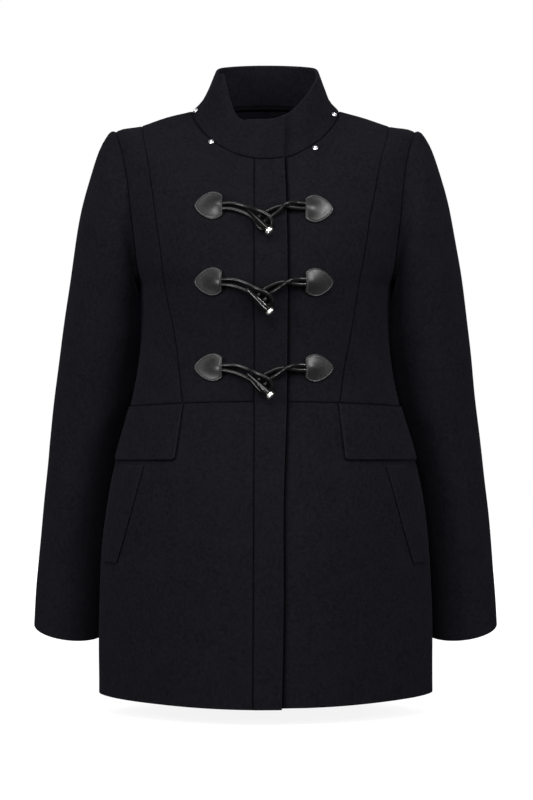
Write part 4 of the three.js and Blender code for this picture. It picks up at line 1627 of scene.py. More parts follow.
@dataclass
class Sleeve:
    """A plain set-in sleeve.

    Attributes:
        body: the surface whose armhole it is sewn to.
        name: its node's name.
        side: 1 for the wearer's left, -1 for the right.
        folds: the folds pressed into it.
        columns: points round it.
        edge_sink: how deep its edge lies in the armhole.
        turned: how far the sewn turn stands off that edge, across and outwards.
        calm: distances down between which its folds and ripples set in.
    """

    body: Body
    name: str
    side: int
    folds: tuple[SleeveFold, ...]
    columns: int = 112
    edge_sink: float = 0.4
    turned: Pair = (2.2, 1.5)
    calm: Pair = (2, 34)

    def mirror(self) -> Array:
        """What a left sleeve's points are multiplied by to give this one's."""
        return np.array([self.side, 1, 1])

    def sections(self) -> Array:
        """The armhole's edge, the sewn turn beside it and the sleeve's sections, as rings of points.

        Returns:
            The points, rings by points round.
        """
        turn = full_turn(self.columns)
        at = self.body.armpit + (self.body.shoulder - self.body.armpit) * (1 + np.cos(turn)) / 2
        front, back = (self.body.armhole_angle(at, is_front) for is_front in (True, False))
        angle = self.side * np.where(turn <= np.pi, front, back)
        edge = self.body.lifted(angle, at, -self.edge_sink) * self.mirror()
        edge[:, 0] += ARMHOLE_GAP
        out = self.body.normal(angle, at) * self.mirror()
        across, outwards = self.turned
        rings = [edge, edge + np.array([across, 0, 0]) + outwards * out]
        for out_x, out_z, in_x, in_z, mid, depth, tilt in SLEEVE.rows:
            x = (out_x + in_x) / 2 + (out_x - in_x) / 2 * np.cos(turn)
            y = mid - depth * np.sin(turn)
            z = (out_z + in_z) / 2 + (out_z - in_z) / 2 * np.cos(turn) - tilt * np.sin(turn)
            rings.append(np.stack([x, y, z], axis=-1))
        return np.stack(rings)

    def grid(self) -> tuple[Array, Array]:
        """Points of the sleeve along a smooth curve through its sections, and their distances down.

        Returns:
            The points, rows by points round, and each row's distance.
        """
        rings = self.sections()
        down = np.concatenate([[0], np.cumsum(np.linalg.norm(np.diff(rings, axis=0), axis=-1).mean(axis=1))])
        at = spread(down[-1], STEP)
        return through(down, rings, at), at

    def normals(self, points: Array) -> Array:
        """Outward normals of a ring grid.

        Args:
            points: the grid's points.

        Returns:
            A unit vector for each point.
        """
        around = np.roll(points, -1, axis=1) - np.roll(points, 1, axis=1)
        down = np.gradient(points, axis=0)
        return unit(np.cross(down, around))

    def build(self) -> None:
        """Makes the sleeve."""
        points, at = self.grid()
        normal = self.normals(points)
        turn = full_turn(self.columns)
        relief = sum(r.height(points * self.mirror()) for r in RIPPLES)
        for fold in self.folds:
            relief = relief + fold.on(points, turn, at).height(points)
        relief = relief * smooth(at, *self.calm)[:, None]
        away = at[-1] - at
        cuff = Edge.FREE
        outer = points + normal * (relief - cuff.outer(away)[:, None])[..., None]
        inner = points + normal * (relief - CLOTH + cuff.inner(away)[:, None])[..., None]
        # By these distances the armhole seam gets painted shade and the cuff's edge a painted highlight.
        apart = np.stack([at + LIGHTLY, away], axis=-1)
        apart = np.repeat(apart[:, None], self.columns, axis=1)
        both = (outer * self.mirror(), inner * self.mirror())
        mesh = wall_mesh(self.name + "_cloth", *both, apart, is_round=True)
        declare_sheet(mesh, self.name)


RIGHT_SLEEVE_FOLDS = (
    ((150, 110), (95, 185), 14, -1.3),
    ((175, 150), (120, 235), 13, 1.0),
    ((165, 215), (105, 290), 13, -1.2),
    ((60, 250), (130, 300), 16, 0.9),
    ((20, 330), (85, 372), 15, -0.9),
    ((215, 190), (270, 262), 15, -1.3),
    ((200, 260), (262, 325), 14, 1.0),
    ((300, 300), (250, 372), 16, -1.0),
    ((70, 460), (120, 540), 20, 0.8),
    ((250, 440), (290, 560), 22, -0.9),
)
LEFT_SLEEVE_FOLDS = (
    ((155, 100), (100, 170), 14, -1.2),
    ((170, 165), (112, 250), 13, 1.0),
    ((160, 235), (98, 300), 14, -1.2),
    ((50, 262), (118, 318), 16, 0.9),
    ((30, 345), (95, 384), 15, -0.8),
    ((210, 180), (262, 250), 15, -1.2),
    ((205, 270), (258, 340), 14, 1.0),
    ((296, 288), (246, 360), 16, -1.0),
    ((78, 470), (110, 560), 20, 0.8),
    ((262, 455), (286, 560), 22, -0.9),
)


@dataclass
class Pocket:
    """A flap sewn into the waist seam, and the welt of the slanted pocket below it.

    Attributes:
        body: the surface that they lie on.
        name: the side's name.
        side: 1 for the wearer's left, -1 for the right.
        flap_top: distance across of the flap's inner edge at the seam.
        flap_hem: the same at its hem.
        welt_top: distances across of the welt's edges at its upper end.
        welt_foot: the same at its lower end.
        flap_turn: how far round the flap's outer edge lies, in degrees.
        flap_gap: how far below the waist seam its cloth begins.
        flap_lift: lift of its outer face at the seam.
        flap_thick: its thickness.
        drop: its length.
        corner: radius of its corners.
        corner_rows: distances up from its hem at which it has a row beside the corners.
        welt_ends: distances up of the welt's ends.
        welt_lift: lift of its outer face.
        welt_thick: its thickness.
    """

    body: Body
    name: str
    side: int
    flap_top: float
    flap_hem: float
    welt_top: Pair
    welt_foot: Pair
    flap_turn: float = 80
    flap_gap: float = 0.8
    flap_lift: float = 3.8
    flap_thick: float = 3.4
    drop: float = 70
    corner: float = 4
    corner_rows: tuple[float, ...] = (3.4, 4, 5.6)
    welt_ends: Pair = (174.0, 300.0)
    welt_lift: float = 2.8
    welt_thick: float = 2.4

    def build(self) -> None:
        """Makes the flap and the welt."""
        hem = WAIST - self.drop
        low, high = self.welt_ends
        skirt = f"{self.name}_front_skirt"

        def down(at: Array) -> Array:
            """Share of the way from the seam to the flap's hem."""
            return (WAIST - at) / self.drop

        def rounding(at: Array) -> Array:
            """How far the flap's corners turn in."""
            left = np.maximum(0, self.corner - (at - hem))
            return self.corner - np.sqrt(np.maximum(0, self.corner**2 - left**2))

        def inner(at: Array) -> Array:
            """Angles of the flap's inner edge."""
            x = self.flap_top + (self.flap_hem - self.flap_top) * down(at) + rounding(at)
            return self.side * self.body.angle_across(x, at)

        def outer(at: Array) -> Array:
            """Angles of the flap's outer edge."""
            turn = np.full(at.shape, math.radians(self.flap_turn))
            return self.side * self.body.nudged(turn, at, -rounding(at))

        Panel(
            f"{self.name}_pocket_flap", self.body, hem, WAIST - self.flap_gap, inner, outer,
            (Edge.FLAP_EDGE, Edge.FLAP_EDGE, Edge.FLAP_EDGE, Edge.SEAM), (skirt,),
            outer=lambda angle, at: self.flap_lift + down(at),
            thick=lambda angle, at: self.flap_thick,
            more_rows=tuple(hem + up for up in self.corner_rows),
        ).build()

        def welt(k: int) -> AngleAt:
            """One of the welt's two edges.

            Args:
                k: 0 for the inner edge, 1 for the outer one.

            Returns:
                The edge's angles, by distance up.
            """

            def angles(at: Array) -> Array:
                """Angles of the edge at distances up."""
                x = self.welt_top[k] + (self.welt_foot[k] - self.welt_top[k]) * (high - at) / (high - low)
                return self.side * self.body.angle_across(x, at)

            return angles

        Panel(
            f"{self.name}_pocket_welt", self.body, low, high, welt(0), welt(1),
            (Edge.FREE,) * 4, (skirt,),
            outer=lambda angle, at: np.full(angle.shape, self.welt_lift),
            thick=lambda angle, at: self.welt_thick,
        ).build()


def centripetal(points: Sequence[Sequence[float]], count: int) -> Array:
    """Points along a smooth curve through a few given ones.

    Args:
        points: the given points.
        count: how many points are wanted.

    Returns:
        The points, evenly spread over the spans.
    """
    p = np.asarray(points, float)
    p = np.concatenate([[2 * p[0] - p[1]], p, [2 * p[-1] - p[-2]]])
    spans = len(p) - 3
    place = np.linspace(0, spans, count)
    i = np.minimum(place.astype(int), spans - 1)
    t = (place - i)[:, None]
    a, b, c, d = p[i], p[i + 1], p[i + 2], p[i + 3]

    def knot(u: Array, v: Array) -> Array:
        """The span between two points, as the curve measures it."""
        return np.maximum(np.linalg.norm(v - u, axis=-1, keepdims=True), 1e-6) ** 0.5

    first, mid, last = knot(a, b), knot(b, c), knot(c, d)
    slope_b = ((b - a) / first - (c - a) / (first + mid) + (c - b) / mid) * mid
    slope_c = ((c - b) / mid - (d - b) / (mid + last) + (d - c) / last) * mid
    return hermite(t, b, slope_b, c, slope_c)


def evenly(points: Array, count: int) -> Array:
    """Points at even distances along a line of points.

    Args:
        points: the line.
        count: how many points are wanted.

    Returns:
        The points.
    """
    gone = np.concatenate([[0], np.cumsum(np.linalg.norm(np.diff(points, axis=0), axis=-1))])
    at = np.linspace(0, gone[-1], count)
    return np.stack([np.interp(at, gone, points[:, k]) for k in range(points.shape[1])], axis=-1)


def tube_rings(path: Array, radius: float, sides: int) -> Array:
    """Rings of a round cord along a path, with slightly rounded ends.

    Args:
        path: the cord's middle line.
        radius: its radius.
        sides: how many points a ring has.

    Returns:
        The points, rings by points round.
    """
    ahead = unit(np.gradient(path, axis=0))
    across = np.zeros_like(path)
    guide = np.cross(ahead[0], (0.0, 1.0, 0.0))
    for k, way in enumerate(ahead):
        guide = guide - way * (guide @ way)
        guide = guide / np.linalg.norm(guide)
        across[k] = guide
    other = np.cross(ahead, across)
    turn = full_turn(sides)
    wide = np.full(len(path), radius)
    wide[0] = wide[-1] = radius * CORD_TIP
    ring = across[:, None] * np.cos(turn)[None, :, None] + other[:, None] * np.sin(turn)[None, :, None]
    return path[:, None] + ring * wide[:, None, None]


def lathe(profile: Sequence[Pair], steps: int) -> Shape:
    """A turned shape round the Z axis.

    Args:
        profile: radius and height of its outline, from the middle of its foot to the middle of its top.
        steps: how many sides it has.

    Returns:
        The shape, in metres.
    """
    bm = bmesh.new()
    points = [bm.verts.new((r * MM, 0, h * MM)) for r, h in profile]
    line = [bm.edges.new(pair) for pair in zip(points, points[1:])]
    bmesh.ops.spin(
        bm, geom=points + line, cent=(0, 0, 0), axis=(0, 0, 1), angle=2 * math.pi, steps=steps, use_merge=True
    )
    bmesh.ops.remove_doubles(bm, verts=bm.verts[:], dist=1e-7)
    bmesh.ops.recalc_face_normals(bm, faces=bm.faces[:])
    return bm


# A patch's upper edge from the end of its straight edge to its tip, along and up, and how many points the
# curved and the straight part of its outline have.
PATCH_EDGE = (
    (0, 12.5), (4.6, 15.84), (11.4, 17.6), (17.75, 16.5), (23.8, 13.55), (29.5, 9.15), (33.7, 4.4), (35.5, 0),
)
CURVED_POINTS = 76
STRAIGHT_POINTS = 22

# Rings of a patch's underside, as shares of its outline, and of its upper face, with how far each lies below
# the dome: a rolled rim, and then a groove for the stitches.
PATCH_UNDER = (0.3, 0.96, 1.0)
PATCH_OVER = (
    (1.0, 0.95), (0.994, 0.45), (0.98, 0.12), (0.96, 0.0), (0.935, 0.03), (0.915, 0.3), (0.9, 0.42),
    (0.885, 0.32), (0.865, 0.08), (0.84, 0.0), (0.79, 0.0), (0.72, 0.0), (0.64, 0.0), (0.55, 0.0),
    (0.46, 0.0), (0.36, 0.0), (0.26, 0.0), (0.16, 0.0), (0.07, 0.0),
)

# A cord's radius, the share of it that is left at its ends, the spacing of its rings and their points.
CORD_RADIUS = 2.6
CORD_TIP = 0.8
CORD_STEP = 1.3
CORD_SIDES = 18

# How far off the cloth a cord's middle is: flat on it, over another cord, and at a patch.
LOW = 4.0
OVER = LOW + 2 * CORD_RADIUS + 0.6
CORD_END = 3.3

# At a patch: where its straight edge is, how far a cord's last points lie inside and outside of it, how far
# apart two cords are from their middle, and how much the hidden end dips.
RIGHT_EDGE = -53.5
LEFT_EDGE = 49.5
TUCKED = 2.5
OUTSIDE = 0.7
HALF_APART = 3.2
DIP = 0.4

# The horn's two ends, across, up and off the cloth, and its two mouths: the share of the way down it, how far
# each stands off the axis to its side and below it, and the cord's first step out of it.
TIP = np.array([-22.5, -7.5, 9.8])
END = np.array([8.6, -38.6, 13.4])
MOUTHS = ((0.36, 2.6, 2.1), (0.57, 3.1, 2.4))
OUT_OF_MOUTH = (2.3, 2.3, -1.9)

# Outlines of the turned pieces, as radius and height: the horn's flank, its tip and its thick end, the cap
# above its foot, and a stud.
HORN_FLANK = ((1.05, 0.3), (1.5, 1.4), (1.95, 4), (2.5, 8), (3.4, 16), (4.1, 25), (4.7, 33), (5.1, 37.4))
HORN_TIP = ((0, 0), (0.55, 0.06))
HORN_END = ((5.0, 37.9), (4.7, 38), (0, 38))
CAP_FOOT = 38.3
CAP = (
    (0, 0), (5.3, 0), (5.62, 0.12), (5.75, 0.45), (5.75, 0.95), (5.55, 1.15), (5.55, 1.4), (5.72, 1.6),
    (5.72, 3.3), (5.6, 3.9), (5.25, 4.5), (4.6, 5.0), (3.4, 5.45), (1.8, 5.75), (0, 5.85),
)
STUD = (
    (0, 0), (3.4, 0), (3.65, 0.15), (3.8, 0.6), (3.78, 1.1), (3.6, 1.45), (3.15, 1.8), (2.6, 2.03),
    (2.1, 2.1), (1.8, 2.04), (1.62, 1.85), (1.55, 1.2), (1.5, 0.4), (0.9, 0.16), (0, 0.12),
)
HORN_SIDES = 40
STUD_SIDES = 36

# A cord's hole in the horn: where it starts and ends beside the mouth, and its radius at each end.
HOLE_REACH = (-0.5, 4.5)
HOLE_RADII = (2.95, 3.2)
SHARP = math.radians(40)


@dataclass
class Patch:
    """A leaf of leather, sewn down over the ends of two cords.

    Attributes:
        body: the surface that it lies on.
        node: its node's name.
        edge: distance across of its straight edge.
        side: which way its tip points, 1 for the wearer's left.
        z: the height of its middle.
        length: from its straight edge to its tip.
        middle: the share of its length at which its rings shrink to nothing.
        under: lift of its underside off the cloth.
        base: lift off the cloth from which its upper face is measured.
        rim: height of its edge.
        swell: how much its middle is raised by the cords.
        swell_at: how far from its straight edge the swell is highest.
        swell_reach: how far the swell reaches, along and up.
        fade: how far inside the rim, as shares of its size, the swell sets in.
        mouth: how far from its straight edge the swell reaches the rim.
        stitches: how many stitches it has.
        stitch_at: the ring that they follow, and how far below the dome they lie.
        stitch_radius: half their thickness.
    """

    body: Body
    node: str
    edge: float
    side: int
    z: float
    length: float = 35.5
    middle: float = 0.42
    under: float = 0.3
    base: float = 0.5
    rim: float = 1.75
    swell: float = 5.1
    swell_at: float = 4.5
    swell_reach: Pair = (14.5, 10.5)
    fade: Pair = (-0.12, 0.14)
    mouth: float = 6
    stitches: int = 34
    stitch_at: Pair = (0.9, 0.3)
    stitch_radius: float = 0.3

    def outline(self) -> Array:
        """Points round its edge, from the middle of the straight edge, along and up.

        Returns:
            The points.
        """
        upper = centripetal(PATCH_EDGE, 200)
        lower = upper[::-1][1:] * (1, -1)
        curve = evenly(np.concatenate([upper, lower]), CURVED_POINTS)
        straight = np.linspace(curve[-1], curve[0], STRAIGHT_POINTS)[1:-1]
        half = len(straight) // 2
        return np.concatenate([straight[half:], curve, straight[:half]])

    def height(self, u: Array, w: Array) -> Array:
        """Height of its upper face, along and up from the middle of the straight edge."""
        along, up = self.swell_reach
        fall = np.exp(-(((u - self.swell_at) / along) ** 2)) * np.exp(-((w / up) ** 2))
        return self.rim + self.swell * fall

    def ring(self, scale: float, drop: float, is_top: bool) -> Array:
        """One ring of the leather's skin.

        Args:
            scale: its size beside the outline's.
            drop: how far it lies below the upper face.
            is_top: whether it lies on the upper face or the lower one.

        Returns:
            Its points in space.
        """
        u, w = self.outline().T
        centre = self.length * self.middle
        u, w = centre + (u - centre) * scale, w * scale
        share = np.maximum(smooth(1 - scale, *self.fade), smooth(self.mouth - u, 0, self.mouth))
        dome = self.rim + (self.height(u, w) - self.rim) * share
        lift = self.base + dome - drop if is_top else np.full(u.shape, self.under)
        return self.body.front_point(self.edge + self.side * u, self.z + w, lift)

    def build(self) -> None:
        """Makes the leather and the stitches round its edge."""
        rows = [self.ring(scale, 0, False) for scale in PATCH_UNDER]
        rows += [self.ring(scale, drop, True) for scale, drop in PATCH_OVER]
        mesh = skin_mesh(self.node, np.stack(rows))
        dress(mesh, self.node + "_leather", [self.node], PATCH_LEATHER)
        self.stitch()

    def stitch(self) -> None:
        """Lays short stitches in the groove round the leather."""
        scale, drop = self.stitch_at
        track = self.ring(scale, drop, True)
        track = evenly(np.concatenate([track, track[:1]]), self.stitches * 4 + 1)
        thick = self.stitch_radius * MM
        bm = bmesh.new()
        for k in range(self.stitches):
            a, b = Vector(track[4 * k]), Vector(track[4 * k + 3])
            size = Matrix.Diagonal((thick, thick, (b - a).length / 2 * MM, 1))
            place = aimed((a + b) / 2, b - a)
            bmesh.ops.create_icosphere(bm, subdivisions=2, radius=1.0, matrix=place @ size)
        dress(bm, self.node + "_stitches", [], THREAD)


@dataclass
class Fastening:
    """Two patches, a loop on the wearer's right, two cords on the left, and the toggle that they hold.

    Attributes:
        body: the surface that they lie on.
        name: which of the three it is.
        z: its height.
        patch_right: how much higher the right patch lies.
        patch_left: how much higher the left patch lies.
        slack: how loosely its loop lies.
    """

    body: Body
    name: str
    z: float
    patch_right: float
    patch_left: float
    slack: float

    def at(self, point: Sequence[float]) -> Array:
        """A point of the set in space, from across, up and off the cloth."""
        u, w, lift = point
        return self.body.front_point(np.array(u), np.array(self.z + w), lift)

    def mouth(self, k: int, further: float = 0.0) -> Array:
        """Where a cord enters the horn, or a point further out of it, in the set's own terms.

        Args:
            k: which of the two mouths.
            further: how much further out the point lies.

        Returns:
            The point.
        """
        share, across, drop = MOUTHS[k]
        point = TIP + (END - TIP) * share
        side = across * math.sqrt(0.5)
        return point + (side + further, side + further, -drop - further)

    def sewn_end(self, edge: float, outward: int, up: int) -> list[Triple]:
        """A cord's last two points, beside a patch's straight edge and under its leather.

        Args:
            edge: distance across of the patch's straight edge.
            outward: which way the patch lies from there, 1 for the wearer's left.
            up: 1 for the upper of two cords, -1 for the lower.

        Returns:
            The points, in the set's own terms.
        """
        outside = (edge - outward * OUTSIDE, up * HALF_APART, CORD_END)
        return [outside, (edge + outward * TUCKED, up * HALF_APART, CORD_END - DIP)]

    def routes(self) -> dict[str, list[Sequence[float]]]:
        """Routes of the three cords, in the set's own terms.

        Returns:
            A list of points for each cord.
        """
        s = self.slack
        right = [
            *reversed(self.sewn_end(RIGHT_EDGE, -1, 1)),
            (-44, 3.3, LOW), (-34, 1.6 + s, LOW), (-22, -2.6 + s, LOW + 1.6), (-10, -8 + s * 0.6, OVER + 0.2),
            (-1, -11.8, OVER + 0.9), (5, -16.2, OVER + 0.1), (8.2, -21.8, LOW + 2.6), (6.6, -27.2, LOW),
            (0.6, -30.2, LOW), (-5.6, -29, LOW), (-10.2, -24.8, LOW), (-12.8 - s, -19.4 - s, LOW),
            (-17 - s, -14.6 - s, LOW), (-24 - s, -10.2 - s * 1.6, LOW), (-33, -6.6 - s * 1.6, LOW),
            (-43, -4 - s, LOW),
            *self.sewn_end(RIGHT_EDGE, -1, -1),
        ]
        first, second = self.mouth(0), self.mouth(1)
        over = [
            second, second + OUT_OF_MOUTH, (4.6, -15.6, LOW), (11, -11.2, LOW), (17.6, -6.4, LOW + 2.6),
            (24.6, -0.9, OVER + 0.4), (31.6, 2.4, OVER - 1.6), (40, 3.4, LOW + 0.4),
            *self.sewn_end(LEFT_EDGE, 1, 1),
        ]
        under = [
            first, first + OUT_OF_MOUTH, (-0.6, -8.6, LOW), (7, -4.7, LOW), (15.4, -1.4, LOW),
            (24.4, -0.4, LOW), (32, -2, LOW), (41, -3.2, LOW),
            *self.sewn_end(LEFT_EDGE, 1, -1),
        ]
        return {"loop_right": right, "cord_left_over": over, "cord_left_under": under}

    def build_cord(self, node: str, route: Sequence[Sequence[float]]) -> None:
        """Makes one round leather cord.

        Args:
            node: its node's name.
            route: its points, in the set's own terms.
        """
        given = np.stack([self.at(point) for point in route])
        path = centripetal(given, 400)
        length = float(np.linalg.norm(np.diff(path, axis=0), axis=-1).sum())
        path = evenly(path, round(length / CORD_STEP))
        mesh = skin_mesh(node, tube_rings(path, CORD_RADIUS, CORD_SIDES))
        dress(mesh, node + "_leather", [node], CORD_LEATHER)
        LOG.info("%s: %.0f mm long", node, length)

    def placed_on_axis(self, bm: Shape) -> None:
        """Moves a turned shape to the toggle's tip, pointing to its thick end.

        Args:
            bm: the shape, in metres.
        """
        tip, end = Vector(self.at(TIP)), Vector(self.at(END))
        bmesh.ops.transform(bm, matrix=aimed(tip, end - tip), verts=bm.verts[:])

    def build_horn(self) -> None:
        """Makes the horn, with a hole for each cord, and its metal cap."""
        flank = map(tuple, centripetal(HORN_FLANK, 40))
        bm = lathe([*HORN_TIP, *flank, *HORN_END], HORN_SIDES)
        self.placed_on_axis(bm)
        node = f"toggle_horn_{self.name}"
        horn = dress(bm, node + "_horn", [node], HORN)
        self.cut(horn, [self.hole(k) for k in range(len(MOUTHS))])
        bm = lathe([(radius, CAP_FOOT + up) for radius, up in CAP], HORN_SIDES)
        self.placed_on_axis(bm)
        node = f"toggle_cap_{self.name}"
        dress(bm, node + "_metal", [node], CAP_METAL)

    def hole(self, k: int) -> bpy.types.Object:
        """The shape of a cord's hole in the horn.

        Args:
            k: which of the two mouths it is at.

        Returns:
            A cone, in no collection.
        """
        inside, outside = (Vector(self.at(self.mouth(k, reach))) for reach in HOLE_REACH)
        low, high = (radius * MM for radius in HOLE_RADII)
        bm = bmesh.new()
        bmesh.ops.create_cone(
            bm, cap_ends=True, segments=32, radius1=low, radius2=high,
            depth=(outside - inside).length * MM, matrix=aimed((inside + outside) / 2, outside - inside),
        )
        return bpy.data.objects.new("hole", made_mesh(bm, "hole"))

    def cut(self, piece: bpy.types.Object, cutters: Sequence[bpy.types.Object]) -> None:
        """Cuts shapes out of a piece and keeps the result as its mesh.

        Args:
            piece: the piece.
            cutters: the shapes; they are removed.
        """
        for cutter in cutters:
            bpy.context.scene.collection.objects.link(cutter)
            hole = piece.modifiers.new("hole", "BOOLEAN")
            hole.operation, hole.object, hole.solver = "DIFFERENCE", cutter, "EXACT"
        graph = bpy.context.evaluated_depsgraph_get()
        mesh = bpy.data.meshes.new_from_object(piece.evaluated_get(graph))
        piece.modifiers.clear()
        old, piece.data = piece.data, mesh
        bpy.data.meshes.remove(old)
        for cutter in cutters:
            bpy.data.meshes.remove(cutter.data)
        bm = bmesh.new()
        bm.from_mesh(mesh)
        sharp = [e for e in bm.edges if len(e.link_faces) == 2 and e.calc_face_angle(0.0) > SHARP]
        for edge in sharp:
            edge.smooth = False
        bm.to_mesh(mesh)
        bm.free()

    def build(self) -> None:
        """Makes the whole set."""
        Patch(self.body, f"patch_right_{self.name}", RIGHT_EDGE, -1, self.z + self.patch_right).build()
        Patch(self.body, f"patch_left_{self.name}", LEFT_EDGE, 1, self.z + self.patch_left).build()
        for cord, route in self.routes().items():
            self.build_cord(f"{cord}_{self.name}", route)
        self.build_horn()


@dataclass
class HoodStud:
    """A small metal stud with a dimple in its middle, set flat on the cloth.

    Attributes:
        surface: the surface that it sits on.
        node: its node's name.
        angle: how far round it is, in degrees.
        at: its distance up on that surface.
        lift: how far it stands off the surface.
    """

    surface: RingSurface
    node: str
    angle: float
    at: float
    lift: float

    def build(self) -> None:
        """Makes the stud."""
        bm = lathe(STUD, STUD_SIDES)
        angle, at = np.array(math.radians(self.angle)), np.array(self.at)
        out = Vector(self.surface.normal(angle, at))
        place = Vector(self.surface.lifted(angle, at, self.lift))
        bmesh.ops.transform(bm, matrix=aimed(place, out), verts=bm.verts[:])
        dress(bm, self.node + "_metal", [self.node], STUD_METAL)


class Gives(Enum):
    """What a lamp adds to the picture."""

    ALL = "all"
    SOFT_LIGHT = "soft light"
    GLINTS = "glints"


@dataclass(frozen=True)
class Lamp:
    """A flat lamp that faces the coat's chest.

    Attributes:
        name: its name.
        place: where it stands, in metres.
        size: its width and height, in metres.
        power: its power in watts.
        gives: what it adds to the picture.
    """

    name: str
    place: Triple
    size: Pair
    power: float
    gives: Gives = Gives.ALL

    def build(self) -> None:
        """Sets the lamp up."""
        light = bpy.data.lights.new(self.name, "AREA")
        light.shape = "RECTANGLE"
        light.size, light.size_y = self.size
        light.energy = self.power
        lamp = bpy.data.objects.new(self.name, light)
        lamp.location = self.place
        lamp.rotation_euler = (Vector(CHEST) - Vector(self.place)).to_track_quat("-Z", "Y").to_euler()
        lamp.visible_diffuse = self.gives is not Gives.GLINTS
        lamp.visible_glossy = self.gives is not Gives.SOFT_LIGHT
        bpy.context.scene.collection.objects.link(lamp)


# The point that every lamp faces, in metres.
CHEST = (0, 0, -0.3)
LAMPS = (
    Lamp("key", (-0.2, -2.0, 1.35), (1.4, 1.0), 80),
    Lamp("side_light", (-2.1, -1.6, 0.4), (1.0, 1.6), 99, Gives.SOFT_LIGHT),
    Lamp("side_light", (2.1, -1.6, 0.4), (1.0, 1.6), 95, Gives.SOFT_LIGHT),
    Lamp("back_light", (0.0, 2.6, 0.4), (2.0, 2.0), 170),
    Lamp("strip_light", (-1.3, -2.3, -0.75), (0.06, 1.2), 100, Gives.GLINTS),
    Lamp("strip_light", (1.5, -2.0, 1.1), (0.06, 1.2), 100, Gives.GLINTS),
)


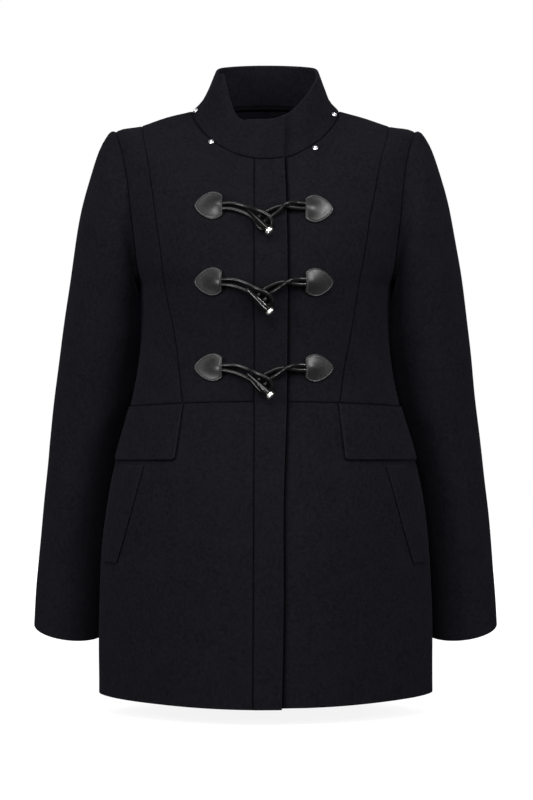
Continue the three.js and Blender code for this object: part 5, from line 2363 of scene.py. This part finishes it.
@dataclass
class Studio:
    """The camera, the lights and the floor.

    Attributes:
        camera_at: where the camera stands, in metres.
        lens: its focal length in millimetres.
        sensor: height of its sensor in millimetres.
        far: how far it sees, in metres.
        sky: brightness of the light from all round.
        floor_z: the floor's height, in metres.
        floor_radius: its radius.
        floor_glow: how strongly it shines near the coat and far from it.
        glow_from: distances from the coat between which the one passes into the other.
        surround_radius: radius of the white surround.
    """

    camera_at: Triple = (0.0013, -3.0, -0.374)
    lens: float = 103.85
    sensor: float = 36
    far: float = 60
    sky: float = 0.24
    floor_z: float = -0.778
    floor_radius: float = 9.0
    floor_glow: Pair = (0.88, 1.0)
    glow_from: Pair = (0.9, 1.8)
    surround_radius: float = 20.0

    def build_camera(self) -> None:
        """Sets the camera up straight in front of the coat."""
        camera = bpy.data.cameras.new("camera")
        camera.lens = self.lens
        camera.sensor_width = self.sensor
        camera.sensor_fit = "AUTO"
        camera.clip_end = self.far
        holder = bpy.data.objects.new("camera", camera)
        holder.location = self.camera_at
        holder.rotation_euler = (QUARTER, 0, 0)
        bpy.context.scene.collection.objects.link(holder)
        bpy.context.scene.camera = holder

    def build_sky(self) -> None:
        """Lights the coat evenly from a white surround."""
        world = bpy.data.worlds.new("surround")
        world.use_nodes = True
        background = world.node_tree.nodes["Background"]
        background.inputs["Color"].default_value = (1, 1, 1, 1)
        background.inputs["Strength"].default_value = self.sky
        bpy.context.scene.world = world

    def glowing(self, name: str, base: float, glow: float) -> Material:
        """A plain white material that also shines by itself.

        Args:
            name: its name.
            base: how much light it throws back.
            glow: how strongly it shines.

        Returns:
            The material.
        """
        material = bpy.data.materials.new(name)
        material.use_nodes = True
        shader = material.node_tree.nodes["Principled BSDF"]
        shader.inputs["Base Color"].default_value = (base, base, base, 1)
        shader.inputs["Roughness"].default_value = 0.9
        shader.inputs["Specular IOR Level"].default_value = 0.0
        shader.inputs["Emission Color"].default_value = (1, 1, 1, 1)
        shader.inputs["Emission Strength"].default_value = glow
        return material

    def floor_material(self) -> Material:
        """The floor's material, which shines the more the further it is from the coat.

        Returns:
            The material.
        """
        material = self.glowing("pale_floor", 0.1, self.floor_glow[0])
        tree = material.node_tree
        place = tree.nodes.new("ShaderNodeTexCoord")
        away = tree.nodes.new("ShaderNodeVectorMath")
        away.operation = "LENGTH"
        glow = tree.nodes.new("ShaderNodeMapRange")
        numbers = self.glow_from + self.floor_glow
        for key, number in zip(("From Min", "From Max", "To Min", "To Max"), numbers):
            glow.inputs[key].default_value = number
        tree.links.new(place.outputs["Object"], away.inputs[0])
        tree.links.new(away.outputs["Value"], glow.inputs["Value"])
        tree.links.new(glow.outputs["Result"], tree.nodes["Principled BSDF"].inputs["Emission Strength"])
        return material

    def stage(self, bm: Shape, name: str, material: Material) -> None:
        """Puts up a part of the studio that the camera sees and that lights nothing.

        Args:
            bm: its shape, in metres; it is freed.
            name: its name.
            material: its material.
        """
        mesh = made_mesh(bm, name)
        mesh.materials.append(material)
        piece = bpy.data.objects.new(name, mesh)
        bpy.context.scene.collection.objects.link(piece)
        piece.visible_diffuse = piece.visible_glossy = piece.visible_shadow = False
        piece.visible_transmission = piece.visible_volume_scatter = False

    def build_floor(self) -> None:
        """Lays a plain pale floor just under the hem, inside a white surround."""
        bm = bmesh.new()
        bmesh.ops.create_circle(bm, cap_ends=True, segments=96, radius=self.floor_radius)
        bmesh.ops.translate(bm, verts=bm.verts[:], vec=(0, 0, self.floor_z))
        self.stage(bm, "floor", self.floor_material())
        bm = bmesh.new()
        bmesh.ops.create_icosphere(bm, subdivisions=4, radius=self.surround_radius)
        self.stage(bm, "surround", self.glowing("white_surround", 0.0, 1.0))

    def build(self) -> None:
        """Sets up the whole studio."""
        self.build_camera()
        self.build_sky()
        self.build_floor()
        for lamp in LAMPS:
            lamp.build()
        bpy.context.scene.view_settings.view_transform = "Standard"


def main() -> None:
    """Builds the coat piece by piece, over its frame."""
    logging.basicConfig(level=logging.INFO, format="%(name)s: %(message)s")
    Studio().build()
    body = Body(BODY)
    creases = [Crease(Face.FRONT, *row) for row in FRONT_CREASES]
    creases += [Crease(Face.BACK, *row) for row in BACK_CREASES]
    body.folds = [crease.on(body) for crease in creases]
    body.folds += [armpit_fold(side) for side in (-1, 1)]
    collar = RingSurface(COLLAR)
    CoatBody(body).build()
    FunnelCollar(collar, body).build()
    for name, side, rows in (("right", -1, RIGHT_SLEEVE_FOLDS), ("left", 1, LEFT_SLEEVE_FOLDS)):
        Sleeve(body, f"{name}_sleeve", side, tuple(SleeveFold(*row) for row in rows)).build()
    Pocket(body, "right", -1, flap_top=102.5, flap_hem=113, welt_top=(153, 175), welt_foot=(188, 205)).build()
    Pocket(body, "left", 1, flap_top=91, flap_hem=99.5, welt_top=(151, 174), welt_foot=(187, 204)).build()
    Fastening(body, "top", -132.5, patch_right=1.5, patch_left=-2.5, slack=0).build()
    Fastening(body, "middle", -226.5, patch_right=0.5, patch_left=-0.5, slack=0.2).build()
    Fastening(body, "bottom", -333.5, patch_right=0.5, patch_left=-0.5, slack=1).build()
    HoodStud(collar, "hood_button_right_shoulder", angle=-81, at=5, lift=1.0).build()
    HoodStud(body, "hood_button_right_front", angle=-43.5, at=NECK - 4.8, lift=0.35).build()
    HoodStud(body, "hood_button_left_front", angle=36.5, at=NECK - 11, lift=0.35).build()
    HoodStud(collar, "hood_button_left_shoulder", angle=75, at=5, lift=1.0).build()


if __name__ == "__main__":
    main()
